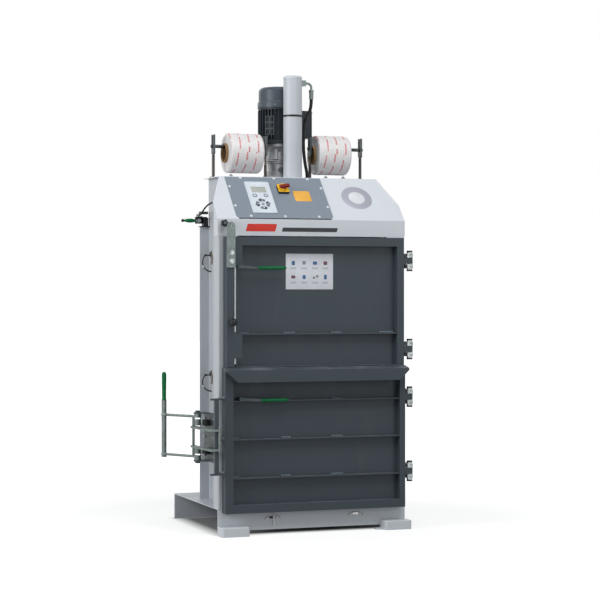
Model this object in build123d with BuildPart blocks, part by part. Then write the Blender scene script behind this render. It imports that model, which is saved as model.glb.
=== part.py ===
from build123d import *
import math
import os

# An upright recycling baler: a press frame with two doors, a sloped hood, a hydraulic cylinder and
# motor on top, two rolls of strapping, and a toggle latch on the left side.
# Widths are measured from the machine's mid-plane, depths from the front of the columns, heights
# from the floor. The functions below move them so that the origin is under the middle of the
# bounding box, on the floor.

# Press frame
body_width = 1180
column_width = 120
column_depth = 80
column_sheet = 5
column_bend = 12
wall_sheet = 6
frame_depth = 566
flange_reach = 57
flange_top = 1815

# Base
base_top = 158
base_depth = 903
base_sheet = 6
rear_foot_reach = 14
beam_clearance = 26
beam_return = 50
beam_corner = 18
strap_slot_left = -253
strap_slot_right = 271
strap_slot_size = 26
foot_width = 171
foot_depth = 86
foot_height = 54
foot_sheet = 8
foot_wing = 41

# Chamber
floor_rib_height = 28
floor_rib_width = 120
floor_rib_count = 5
floor_sheet = 5
rear_rib_depth = 40
rear_rib_height = 60
rear_rib_heights = (420, 900, 1380)

# Hood
hood_bottom = 1749
fold_height = 1847
hood_top = 2110
slope_depth = 250
hood_sheet = 3
hood_return = 28
hood_corner_height = 1943
hood_corner_inset = 86

# Doors
door_gap = 3
door_depth = 64
door_sheet = 4
recess_depth = 50
upper_half_width = 557
lower_half_width = 565
upper_door_top = 1742
door_seam = 982
seam_gap = 2
lower_door_bottom = 133

# Hinges
hinge_axis_x = 600
hinge_axis_y = -50
hinge_block_radius = 21
hinge_pin_radius = 9
hinge_height = 105
hinge_heights = (1605.5, 1076.5, 791, 346)
pin_clearance = 0.05

# Cylinder and platen
cylinder_y = 355
cylinder_radius = 57
cylinder_bore = 48
cylinder_top = 2733
cylinder_bottom = 1880
rod_radius = 30
platen_top = 1760
platen_height = 110
platen_gap = 9

# Latch
shaft_x = -652
shaft_y = 200
handle_reach = 270
handle_angle = 121
handle_bar_radius = 15
joint_ball_radius = 18
crank_radius = 30

# Loading lip
lip_reach = 63
lip_drop = 14
lip_height = 84
lip_sheet = 5
lip_left = -576
lip_right = 565

# Places worked out from the sizes above
half_width = body_width / 2
wall_x = half_width - column_width
inner_x = wall_x - wall_sheet
door_back = -door_gap
door_front = -door_gap - door_depth
handle_bar_x = shaft_x + handle_reach * math.cos(math.radians(handle_angle))
handle_bar_y = shaft_y + handle_reach * math.sin(math.radians(handle_angle))
left_reach = handle_bar_x - joint_ball_radius
right_reach = hinge_axis_x + hinge_block_radius
front_reach = door_front - lip_reach
rear_reach = base_depth + rear_foot_reach
mid_x = -(left_reach + right_reach) / 2
front_y = -(front_reach + rear_reach) / 2
slope_rise = hood_top - fold_height
slope_length = math.hypot(slope_depth, slope_rise)
slope_angle = math.degrees(math.atan2(slope_rise, slope_depth))


def level(z):
    """Level plane at a height: drawn in width and depth, extruded upward."""
    return Plane((mid_x, front_y, z))


def facing_front(y):
    """Upright plane at a depth: drawn in width and height, extruded towards the front."""
    return Plane(origin=(mid_x, front_y + y, 0), x_dir=(1, 0, 0), z_dir=(0, -1, 0))


def facing_right(x):
    """Upright plane at a width: drawn in depth and height, extruded to the right."""
    return Plane(origin=(mid_x + x, front_y, 0), x_dir=(0, 1, 0), z_dir=(1, 0, 0))


def on_slope(lift=0):
    """The hood's slope: drawn in width and distance above the fold, extruded outward."""
    lean = math.radians(slope_angle)
    outward = (0, -math.sin(lean), math.cos(lean))
    origin = (mid_x, front_y + lift * outward[1], fold_height + lift * outward[2])
    return Plane(origin=origin, x_dir=(1, 0, 0), z_dir=outward)


def span(low, high, bottom, top):
    """Rectangle in the active sketch between two pairs of values."""
    with Locations(((low + high) / 2, (bottom + top) / 2)):
        Rectangle(high - low, top - bottom)


def sides(side, near, far):
    """Two distances from the mid-plane as widths on its left (-1) or right (1), the lower first."""
    return sorted((side * near, side * far))


def block(x, y, z, mode=Mode.ADD):
    """Box in the active part between two values on each axis."""
    with Locations((mid_x + sum(x) / 2, front_y + sum(y) / 2, sum(z) / 2)):
        Box(x[1] - x[0], y[1] - y[0], z[1] - z[0], mode=mode)


def upright(x, y, radius, z, mode=Mode.ADD):
    """Upright cylinder in the active part between two heights."""
    with Locations((mid_x + x, front_y + y, z[0])):
        Cylinder(radius, z[1] - z[0], align=(Align.CENTER, Align.CENTER, Align.MIN), mode=mode)


def crosswise(y, z, radius, x, mode=Mode.ADD):
    """Cylinder along the machine's width in the active part between two widths."""
    with Locations(Plane(origin=(mid_x + x[0], front_y + y, z), z_dir=(1, 0, 0))):
        Cylinder(radius, x[1] - x[0], align=(Align.CENTER, Align.CENTER, Align.MIN), mode=mode)


def fore_aft(x, z, radius, y, mode=Mode.ADD):
    """Cylinder along the machine's depth in the active part between two depths."""
    with Locations(Plane(origin=(mid_x + x, front_y + y[0], z), z_dir=(0, 1, 0))):
        Cylinder(radius, y[1] - y[0], align=(Align.CENTER, Align.CENTER, Align.MIN), mode=mode)


os.makedirs("parts", exist_ok=True)

# Base plate: a level plate folded down at the rear into a web with a short foot flange
with BuildPart() as base_plate:
    with BuildSketch(facing_right(-half_width)):
        span(0, base_depth, base_top - base_sheet, base_top)
        span(base_depth - base_sheet, base_depth, 0, base_top)
        span(base_depth - base_sheet, rear_reach, 0, base_sheet)
    extrude(amount=body_width)
base_plate.part.label = "base_plate"
export_step(base_plate.part, "parts/base_plate.step")

# Front beam: an upright plate that stands on its two ends, with a bottom return and two strap slots
beam_top = base_top - base_sheet
leg_width = 30
slot_height = 96
with BuildPart() as front_beam:
    with BuildSketch(facing_front(base_sheet)):
        span(-half_width, half_width, beam_clearance, beam_top)
        with BuildSketch() as legs:
            for side in (-1, 1):
                with Locations((side * (half_width - leg_width / 2), beam_top / 2)):
                    Rectangle(leg_width, beam_top)
            fillet(legs.vertices().group_by(Axis.Y)[0], beam_corner / 2)
        with Locations((strap_slot_left, slot_height)):
            Rectangle(strap_slot_size * 1.6, strap_slot_size / 2, mode=Mode.SUBTRACT)
        with Locations((strap_slot_right, slot_height)):
            SlotCenterToCenter(strap_slot_size, strap_slot_size / 2, mode=Mode.SUBTRACT)
    extrude(amount=base_sheet)
    beam_inner = half_width - leg_width
    block((-beam_inner, beam_inner), (base_sheet, beam_return), (beam_clearance, beam_clearance + base_sheet))
front_beam.part.label = "front_beam"
export_step(front_beam.part, "parts/front_beam.step")

# Front feet: rounded sheet boxes, open below; the right one has a lower wing towards the middle
for side, name in ((-1, "foot_left"), (1, "foot_right")):
    outer = half_width + (11 if side > 0 else 0)
    inner = outer - foot_width
    with BuildPart() as foot:
        with BuildSketch(level(0)) as outline:
            span(*sides(side, inner, outer), -foot_depth, 0)
            fillet(outline.vertices().group_by(Axis.Y)[0], 14)
        extrude(amount=foot_height)
        fillet(foot.faces().sort_by(Axis.Z)[-1].edges(), foot_sheet / 2)
        with BuildSketch(level(0)):
            add(outline.sketch_local)
            offset(amount=-foot_sheet, mode=Mode.REPLACE)
        extrude(amount=foot_height - foot_sheet, mode=Mode.SUBTRACT)
        if side > 0:
            block((inner - foot_wing, inner), (-foot_depth / 2, 0), (0, foot_sheet))
    foot.part.label = name
    export_step(foot.part, f"parts/{name}.step")

# Columns: folded box sections with a rounded outer front corner
for side, name in ((-1, "column_left"), (1, "column_right")):
    with BuildPart() as column:
        with BuildSketch(level(base_top)) as section:
            span(*sides(side, wall_x, half_width), 0, column_depth)
            outer_corner = section.vertices().group_by(Axis.Y)[0].sort_by(Axis.X)[-1 if side > 0 else 0]
            fillet(outer_corner, column_bend)
            offset(amount=-column_sheet, mode=Mode.SUBTRACT)
        extrude(amount=hood_bottom - base_top)
    column.part.label = name
    export_step(column.part, f"parts/{name}.step")

slope_tangent = slope_rise / slope_depth
slope_cosine = slope_depth / slope_length
ceiling = hood_top - hood_sheet


def behind_slope(y):
    """Height of the slope's inner face at a depth."""
    return fold_height + y * slope_tangent - hood_sheet / slope_cosine


slope_end = (ceiling - behind_slope(0)) / slope_tangent

# Side walls: sheets from the columns to the rear, folded outward there; the fold ends below the hood.
# The left one has a lug under the hood where the side lever's cable ends.
hood_gap = 0.2
wall_lug_x = -490
wall_lug_y = 225
wall_lug_z = 1960
wall_lug_size = 20
for side, name in ((-1, "side_wall_left"), (1, "side_wall_right")):
    with BuildPart() as side_wall:
        with BuildSketch(facing_right(min(side * inner_x, side * wall_x))):
            with BuildLine():
                Polyline(
                    (column_depth, base_top),
                    (column_depth, behind_slope(column_depth) - hood_gap),
                    (slope_end, ceiling - hood_gap),
                    (frame_depth, ceiling - hood_gap),
                    (frame_depth, base_top),
                    close=True,
                )
            make_face()
        extrude(amount=wall_sheet)
        with BuildSketch(level(base_top)):
            span(*sides(side, inner_x, wall_x + flange_reach), frame_depth - wall_sheet, frame_depth)
        extrude(amount=flange_top - base_top)
        if side < 0:
            lug_z = (wall_lug_z - wall_lug_size / 2, wall_lug_z + wall_lug_size / 2)
            block((wall_lug_x - wall_lug_size / 2, -wall_x), (wall_lug_y - wall_lug_size, wall_lug_y), lug_z)
    side_wall.part.label = name
    export_step(side_wall.part, f"parts/{name}.step")

# Rear wall: a sheet with hat-shaped ribs behind it and a notch at the top for the oil tank
tank_half_width = 240
tank_front = 470
tank_rear = 750
tank_bottom = 1850
tank_clearance = 3
notch_half_width = tank_half_width + tank_clearance
with BuildPart() as rear_wall:
    with BuildSketch(facing_front(frame_depth)):
        span(-inner_x, inner_x, base_top, hood_top - hood_sheet)
        with Locations((0, (tank_bottom + hood_top) / 2)):
            Rectangle(2 * notch_half_width, hood_top - tank_bottom, mode=Mode.SUBTRACT)
    extrude(amount=wall_sheet)
    with BuildSketch(facing_right(-inner_x)):
        inner_depth = rear_rib_depth - 2 * wall_sheet
        inner_height = rear_rib_height - 2 * wall_sheet
        for rib_height in rear_rib_heights:
            with Locations((frame_depth + rear_rib_depth / 2, rib_height)):
                Rectangle(rear_rib_depth, rear_rib_height)
                Rectangle(inner_depth, inner_height, mode=Mode.SUBTRACT)
    extrude(amount=2 * inner_x)
rear_wall.part.label = "rear_wall"
export_step(rear_wall.part, "parts/rear_wall.step")

# Chamber floor: a sheet with hat-shaped ribs from front to rear; the strapping runs between them
rib_pitch = 2 * inner_x / floor_rib_count
rib_centres = [(i - (floor_rib_count - 1) / 2) * rib_pitch for i in range(floor_rib_count)]
with BuildPart() as chamber_floor:
    with BuildSketch(facing_front(frame_depth - wall_sheet)):
        span(-inner_x, inner_x, base_top, base_top + floor_sheet)
        for centre in rib_centres:
            with Locations((centre, base_top + floor_sheet + floor_rib_height / 2)):
                Trapezoid(floor_rib_width, floor_rib_height, 70)
                Trapezoid(
                    floor_rib_width - 2 * floor_sheet,
                    floor_rib_height - 2 * floor_sheet,
                    70,
                    mode=Mode.SUBTRACT,
                )
    extrude(amount=frame_depth - wall_sheet)
chamber_floor.part.label = "chamber_floor"
export_step(chamber_floor.part, "parts/chamber_floor.step")

# Head beam: a box section across the frame that carries the cylinder's flange
beam_bottom_z = 1900
beam_height = 100
beam_depth = 200
beam_wall = 10
bore_clearance = 0.5
with BuildPart() as head_beam:
    with BuildSketch(facing_right(-inner_x)):
        with Locations((cylinder_y, beam_bottom_z + beam_height / 2)):
            Rectangle(beam_depth, beam_height)
            Rectangle(beam_depth - 2 * beam_wall, beam_height - 2 * beam_wall, mode=Mode.SUBTRACT)
    extrude(amount=2 * inner_x)
    collar_radius = cylinder_radius + bore_clearance + beam_wall
    upright(0, cylinder_y, collar_radius, (beam_bottom_z, beam_bottom_z + beam_height))
    bore_span = (beam_bottom_z, beam_bottom_z + beam_height)
    upright(0, cylinder_y, cylinder_radius + bore_clearance, bore_span, Mode.SUBTRACT)
head_beam.part.label = "head_beam"
export_step(head_beam.part, "parts/head_beam.step")

# Hood: a folded sheet shell. Its face and slope run the full width, its sides are shallow returns,
# its upper corners are cut off, and the top plate has openings for the cylinder, hose and tank.
hose_grommet_x = 97
hose_grommet_y = 360
hose_radius = 10


def hood_inside(front):
    """Outline of the space inside the hood's sheet, from a depth to the open rear."""
    with BuildSketch(facing_right(0), mode=Mode.PRIVATE) as inside:
        with BuildLine():
            Polyline(
                (front, hood_bottom - 1),
                (front, behind_slope(front)),
                (slope_end, ceiling),
                (frame_depth + 1, ceiling),
                (frame_depth + 1, hood_bottom - 1),
                close=True,
            )
        make_face()
    return inside.sketch


with BuildPart() as hood:
    with BuildSketch(facing_right(0)):
        with BuildLine():
            Polyline(
                (0, hood_bottom),
                (0, fold_height),
                (slope_depth, hood_top),
                (frame_depth, hood_top),
                (frame_depth, hood_bottom),
                close=True,
            )
        make_face()
    extrude(amount=half_width, both=True)
    with BuildSketch(facing_front(frame_depth + 1)):
        for side in (-1, 1):
            with BuildLine():
                Polyline(
                    (side * (half_width + 1), hood_corner_height),
                    (side * half_width, hood_corner_height),
                    (side * (half_width - hood_corner_inset), hood_top),
                    (side * (half_width - hood_corner_inset), hood_top + 1),
                    (side * (half_width + 1), hood_top + 1),
                    close=True,
                )
            make_face()
    extrude(amount=frame_depth + 2, mode=Mode.SUBTRACT)
    extrude(hood_inside(hood_sheet), amount=half_width - hood_sheet, both=True, mode=Mode.SUBTRACT)
    extrude(hood_inside(column_depth), amount=half_width + 1, both=True, mode=Mode.SUBTRACT)
    return_half = half_width - hood_sheet
    block((-return_half, return_half), (hood_sheet, hood_return), (hood_bottom, hood_bottom + hood_sheet))
    top_cut = (hood_top - hood_sheet - 1, hood_top + 1)
    notch_x = (-notch_half_width, notch_half_width)
    block(notch_x, (tank_front - tank_clearance, frame_depth + 1), top_cut, Mode.SUBTRACT)
    upright(0, cylinder_y, cylinder_radius + tank_clearance, top_cut, Mode.SUBTRACT)
    upright(hose_grommet_x, hose_grommet_y, hose_radius + 1, top_cut, Mode.SUBTRACT)
hood.part.label = "hood"
export_step(hood.part, "parts/hood.step")

# Control panel: a plate on the left of the slope, with rounded lower corners
panel_left = -472
panel_right = 134
panel_sheet = 2.5
panel_margin = 7
with BuildPart() as control_panel:
    with BuildSketch(on_slope()) as outline:
        span(panel_left, panel_right, panel_margin, slope_length - panel_margin)
        fillet(outline.vertices().group_by(Axis.Y)[0], 26)
    extrude(amount=panel_sheet)
control_panel.part.label = "control_panel"
export_step(control_panel.part, "parts/control_panel.step")

# Keypad: a raised plate with a sunk window, two round keys and a ring of five
keypad_left = -354
keypad_right = -205
keypad_low = 65
keypad_high = 312
keypad_sheet = 5
window_depth = 2
key_radius = 11
key_rise = 2
key_places = [(-311, 204), (-246, 204), (-279, 169), (-314, 134), (-279, 134), (-245, 134), (-279, 99)]
with BuildPart() as keypad:
    with BuildSketch(on_slope(panel_sheet)) as outline:
        span(keypad_left, keypad_right, keypad_low, keypad_high)
        fillet(outline.vertices(), 8)
    extrude(amount=keypad_sheet)
    with BuildSketch(on_slope(panel_sheet + keypad_sheet)):
        span(-328, -244, 224, 272)
    extrude(amount=-window_depth, mode=Mode.SUBTRACT)
    with BuildSketch(on_slope(panel_sheet + keypad_sheet)):
        with Locations(*key_places):
            Circle(key_radius)
    extrude(amount=key_rise)
keypad.part.label = "keypad"
export_step(keypad.part, "parts/keypad.step")

# Main switch: a square plate with a round collar, and a knob with a grip bar that turns in it
switch_x = -130
switch_up = 252
switch_plate = 62
switch_sheet = 3
collar_radius = 24
collar_rise = 10
knob_radius = 20
knob_gap = 0.3
stem_radius = 6
collar_top = panel_sheet + switch_sheet + collar_rise
with BuildPart() as switch_base:
    with BuildSketch(on_slope(panel_sheet)) as outline:
        with Locations((switch_x, switch_up)):
            RectangleRounded(switch_plate, switch_plate, 4)
    extrude(amount=switch_sheet)
    with BuildSketch(on_slope(panel_sheet + switch_sheet)):
        with Locations((switch_x, switch_up)):
            Circle(collar_radius)
    extrude(amount=collar_rise, taper=8)
    with BuildSketch(on_slope(collar_top)):
        with Locations((switch_x, switch_up)):
            Circle(stem_radius + pin_clearance)
    extrude(amount=-collar_rise, mode=Mode.SUBTRACT)
switch_base.part.label = "switch_base"
export_step(switch_base.part, "parts/switch_base.step")

with BuildPart() as switch_knob:
    with BuildSketch(on_slope(collar_top + knob_gap)):
        with Locations((switch_x, switch_up)):
            Circle(knob_radius)
    extrude(amount=7, taper=6)
    with BuildSketch(on_slope(collar_top + knob_gap + 7)):
        with Locations((switch_x, switch_up)):
            SlotOverall(2 * knob_radius - 6, 10, rotation=90)
    extrude(amount=14, taper=4)
    with BuildSketch(on_slope(collar_top + knob_gap)):
        with Locations((switch_x, switch_up)):
            Circle(stem_radius)
    extrude(amount=-(collar_rise - 1))
switch_knob.part.label = "switch_knob"
export_step(switch_knob.part, "parts/switch_knob.step")

# Cylinder: a barrel with a gland at the bottom, a flange that rests on the head beam and a domed cap
gland_height = 50
flange_radius = 95
flange_height = 20
cap_height = 33
rest_z = beam_bottom_z + beam_height
cylinder_axis = Axis((mid_x, front_y + cylinder_y, 0), (0, 0, 1))
with BuildPart() as cylinder:
    with BuildSketch(facing_front(cylinder_y)) as section:
        span(0, cylinder_radius, cylinder_bottom, cylinder_top)
        span(0, flange_radius, rest_z, rest_z + flange_height)
        top_corner = section.vertices().sort_by(Axis.Y)[-2:].sort_by(Axis.X)[-1]
        fillet(top_corner, 9)
        with Locations((0, (cylinder_bottom + gland_height + cylinder_top - cap_height) / 2)):
            bore_length = cylinder_top - cap_height - cylinder_bottom - gland_height
            Rectangle(2 * cylinder_bore, bore_length, mode=Mode.SUBTRACT)
        with Locations((0, cylinder_bottom + gland_height / 2)):
            Rectangle(2 * (rod_radius + pin_clearance), gland_height, mode=Mode.SUBTRACT)
    revolve(axis=cylinder_axis)
cylinder.part.label = "cylinder"
export_step(cylinder.part, "parts/cylinder.step")

# Piston rod: bolted to the platen's boss, with the piston at its upper end inside the barrel
piston_top = cylinder_top - cap_height - 20
piston_height = 40
piston_clearance = 0.3
with BuildPart() as piston_rod:
    upright(0, cylinder_y, rod_radius, (platen_top, piston_top))
    upright(0, cylinder_y, cylinder_bore - piston_clearance, (piston_top - piston_height, piston_top))
piston_rod.part.label = "piston_rod"
export_step(piston_rod.part, "parts/piston_rod.step")

# Platen: a plate stiffened above by two channels and a boss, with bars below that match the floor ribs
platen_plate = 14
platen_bar = 30
platen_front = 14
platen_rear = frame_depth - wall_sheet - platen_gap
platen_half = inner_x - platen_gap
platen_bottom = platen_top - platen_height
channel_width = 90
channel_wall = 8
plate_low = platen_bottom + platen_bar
plate_high = plate_low + platen_plate
with BuildPart() as platen:
    block((-platen_half, platen_half), (platen_front, platen_rear), (plate_low, plate_high))
    for centre in rib_centres:
        bar_x = (centre - floor_rib_width / 2 + 5, centre + floor_rib_width / 2 - 5)
        block(bar_x, (platen_front, platen_rear), (platen_bottom, plate_low))
    with BuildSketch(facing_right(-platen_half)):
        for side in (-1, 1):
            with Locations((cylinder_y + side * (channel_width + 20), (plate_high + platen_top) / 2)):
                Rectangle(channel_width, platen_top - plate_high)
                inside = platen_top - plate_high - 2 * channel_wall
                Rectangle(channel_width - 2 * channel_wall, inside, mode=Mode.SUBTRACT)
    extrude(amount=2 * platen_half)
    upright(0, cylinder_y, 62, (plate_high, platen_top))
platen.part.label = "platen"
export_step(platen.part, "parts/platen.step")

# Oil tank: a rounded sheet box that sits in the rear wall's notch, with a filler hole in its lid
tank_sheet = 4
filler_x = 150
filler_y = 690
filler_radius = 16
with BuildPart() as oil_tank:
    with BuildSketch(level(tank_bottom)) as outline:
        span(-tank_half_width, tank_half_width, tank_front, tank_rear)
        fillet(outline.vertices(), 18)
    extrude(amount=hood_top - tank_bottom)
    with BuildSketch(level(tank_bottom + tank_sheet)):
        add(outline.sketch_local)
        offset(amount=-tank_sheet, mode=Mode.REPLACE)
    extrude(amount=hood_top - tank_bottom - 2 * tank_sheet, mode=Mode.SUBTRACT)
    upright(filler_x, filler_y, filler_radius, (hood_top - tank_sheet - 1, hood_top + 1), Mode.SUBTRACT)
oil_tank.part.label = "oil_tank"
export_step(oil_tank.part, "parts/oil_tank.step")

# Filler cap: a breather cap with a ribbed rim and a plug that stands in the filler hole
cap_radius = 26
with BuildPart() as filler_cap:
    with BuildSketch(level(hood_top)):
        with Locations((filler_x, filler_y)):
            RegularPolygon(cap_radius, 12)
    extrude(amount=22)
    fillet(filler_cap.faces().sort_by(Axis.Z)[-1].edges(), 4)
    upright(filler_x, filler_y, filler_radius - bore_clearance, (hood_top - 20, hood_top))
filler_cap.part.label = "filler_cap"
export_step(filler_cap.part, "parts/filler_cap.step")

# Pump housing: a stepped cast bell between the tank and the motor
motor_x = -20
motor_y = 552
motor_radius = 130
bell_radius = 78
bell_foot = 2162
bell_step = 2205
motor_bottom = 2328
bell_flange = 112
motor_axis = Axis((mid_x + motor_x, front_y + motor_y, 0), (0, 0, 1))
motor_plane = Plane(origin=(mid_x + motor_x, front_y + motor_y, 0), x_dir=(1, 0, 0), z_dir=(0, -1, 0))
with BuildPart() as pump_housing:
    with BuildSketch(motor_plane):
        with BuildLine():
            Polyline(
                (0, hood_top),
                (bell_radius + 14, hood_top),
                (bell_radius + 14, hood_top + 14),
                (bell_radius, hood_top + 20),
                (bell_radius, bell_foot),
                (bell_radius - 6, bell_foot + 4),
                (bell_radius - 6, bell_step),
                (bell_radius, bell_step + 6),
                (bell_radius, motor_bottom - 46),
                (bell_flange, motor_bottom - 16),
                (bell_flange, motor_bottom),
                (0, motor_bottom),
                close=True,
            )
        make_face()
    revolve(axis=motor_axis)
pump_housing.part.label = "pump_housing"
export_step(pump_housing.part, "parts/pump_housing.step")

# Motor: a round body with upright cooling fins between two end shields, and a flat for the terminal box
motor_core = 112
shield_height = 24
cowl_bottom = 2551
fin_count = 36
fin_width = 4
terminal_left = 94
terminal_right = 185
terminal_front = 512
terminal_rear = 592
terminal_low = 2372
terminal_high = 2541
terminal_neck = 18
box_clearance = 0.3
with BuildPart() as motor:
    with BuildSketch(motor_plane):
        span(0, motor_radius - 3, motor_bottom, motor_bottom + shield_height)
        span(0, motor_core, motor_bottom, cowl_bottom)
        span(0, motor_radius - 3, cowl_bottom - shield_height / 2, cowl_bottom)
    revolve(axis=motor_axis)
    with BuildSketch(level(motor_bottom + shield_height)):
        with Locations((motor_x, motor_y)):
            with PolarLocations((motor_core + motor_radius) / 2 - 2, fin_count):
                Rectangle(motor_radius - motor_core + 4, fin_width)
    extrude(amount=cowl_bottom - motor_bottom - 1.5 * shield_height)
    box_y = (terminal_front - box_clearance, terminal_rear + box_clearance)
    box_z = (terminal_low - box_clearance, terminal_high + box_clearance)
    block((terminal_left - box_clearance, terminal_right), box_y, box_z, Mode.SUBTRACT)
motor.part.label = "motor"
export_step(motor.part, "parts/motor.step")

# Fan cowl: a pressed cap with a stepped skirt and a ring of air slots in its top
cowl_top = 2679
cowl_step = 2592
cowl_sheet = 3
slot_count = 14
with BuildPart() as fan_cowl:
    with BuildSketch(motor_plane) as section:
        span(0, motor_radius, cowl_bottom, cowl_step)
        span(0, motor_radius - 5, cowl_bottom, cowl_top)
        fillet(section.vertices().sort_by(Axis.Y)[-2:].sort_by(Axis.X)[-1], 24)
    revolve(axis=motor_axis)
    with BuildSketch(motor_plane) as section:
        span(0, motor_radius - 5 - cowl_sheet, cowl_bottom, cowl_top - cowl_sheet)
        fillet(section.vertices().sort_by(Axis.Y)[-2:].sort_by(Axis.X)[-1], 24 - cowl_sheet)
    revolve(axis=motor_axis, mode=Mode.SUBTRACT)
    with BuildSketch(level(cowl_top + 1)):
        with Locations((motor_x, motor_y)):
            with PolarLocations(62, slot_count):
                SlotOverall(64, 11)
    extrude(amount=-cowl_sheet - 2, mode=Mode.SUBTRACT)
fan_cowl.part.label = "fan_cowl"
export_step(fan_cowl.part, "parts/fan_cowl.step")

# Terminal box: a neck against the motor's core, a box and a screwed lid with a rounded rim
with BuildPart() as terminal_box:
    neck_y = (terminal_front + terminal_neck, terminal_rear - terminal_neck)
    neck_z = (terminal_low + terminal_neck, terminal_high - terminal_neck)
    block((terminal_left, terminal_left + terminal_neck), neck_y, neck_z)
    box_x = (terminal_left + terminal_neck, terminal_right - 12)
    block(box_x, (terminal_front, terminal_rear), (terminal_low, terminal_high))
    block((terminal_right - 10, terminal_right), (terminal_front, terminal_rear), (terminal_low, terminal_high))
    block((terminal_right - 12, terminal_right - 10), (terminal_front + 3, terminal_rear - 3), neck_z)
    fillet(terminal_box.faces().sort_by(Axis.X)[-1].edges(), 5)
terminal_box.part.label = "terminal_box"
export_step(terminal_box.part, "parts/terminal_box.step")

# Cylinder fittings: a port block on the barrel, a bent pipe and the ferrule of the pressure hose
port_height = 2693
pipe_radius = 7
ferrule_x = 121
ferrule_radius = 13
ferrule_top = 2641
ferrule_bottom = 2597
pipe_bend = 26
with BuildPart() as cylinder_fittings:
    port_y = (cylinder_y - 15, cylinder_y + 15)
    port_z = (port_height - 17, port_height + 17)
    block((cylinder_radius - 3, cylinder_radius + 26), port_y, port_z)
    upright(0, cylinder_y, cylinder_radius + box_clearance, port_z, Mode.SUBTRACT)
    with BuildLine() as route:
        FilletPolyline(
            (mid_x + cylinder_radius + 24, front_y + cylinder_y, port_height),
            (mid_x + ferrule_x, front_y + cylinder_y, port_height),
            (mid_x + ferrule_x, front_y + cylinder_y, ferrule_top - 2),
            radius=pipe_bend,
        )
    with BuildSketch(Plane(route.line @ 0, z_dir=route.line % 0)):
        Circle(pipe_radius)
    sweep()
    upright(ferrule_x, cylinder_y, ferrule_radius, (ferrule_bottom, ferrule_top))
    with BuildSketch(level(ferrule_top - 4)):
        with Locations((ferrule_x, cylinder_y)):
            RegularPolygon(ferrule_radius + 3, 6)
    extrude(amount=16)
cylinder_fittings.part.label = "cylinder_fittings"
export_step(cylinder_fittings.part, "parts/cylinder_fittings.step")


def cord_tube(points, radius):
    """Tube along straight runs joined by tangent arcs; returns it as a part and prints its arcs."""
    corners = [Vector(*point) for point in points]
    radii = []
    for before, corner, after in zip(corners, corners[1:], corners[2:]):
        turn = math.radians((corner - before).get_angle(after - corner))
        shorter = min((corner - before).length, (after - corner).length)
        radii.append(0.45 * shorter / math.tan(turn / 2))
    print("arc radii:", [round(value) for value in radii])
    with BuildPart() as tube:
        with BuildLine() as route:
            FilletPolyline(*corners, radius=radii)
        with BuildSketch(Plane(route.line @ 0, z_dir=route.line % 0)):
            Circle(radius)
        sweep()
    prism = math.pi * radius**2 * route.wire().length
    print("volume over section times length:", round(tube.part.volume / prism, 4))
    return tube


# Pressure hose: from the ferrule down beside the barrel and through the hood's grommet hole
hose_points = [
    (ferrule_x, cylinder_y, ferrule_bottom),
    (ferrule_x, cylinder_y, 2545),
    (ferrule_x - 34, cylinder_y + 6, 2462),
    (ferrule_x - 48, cylinder_y + 9, 2385),
    (ferrule_x - 48, cylinder_y + 9, 2290),
    (ferrule_x - 38, cylinder_y + 7, 2200),
    (hose_grommet_x, hose_grommet_y, 2140),
    (hose_grommet_x, hose_grommet_y, hood_top - 40),
]
pressure_hose = cord_tube([(mid_x + x, front_y + y, z) for x, y, z in hose_points], hose_radius)
pressure_hose.part.label = "pressure_hose"
export_step(pressure_hose.part, "parts/pressure_hose.step")

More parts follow.
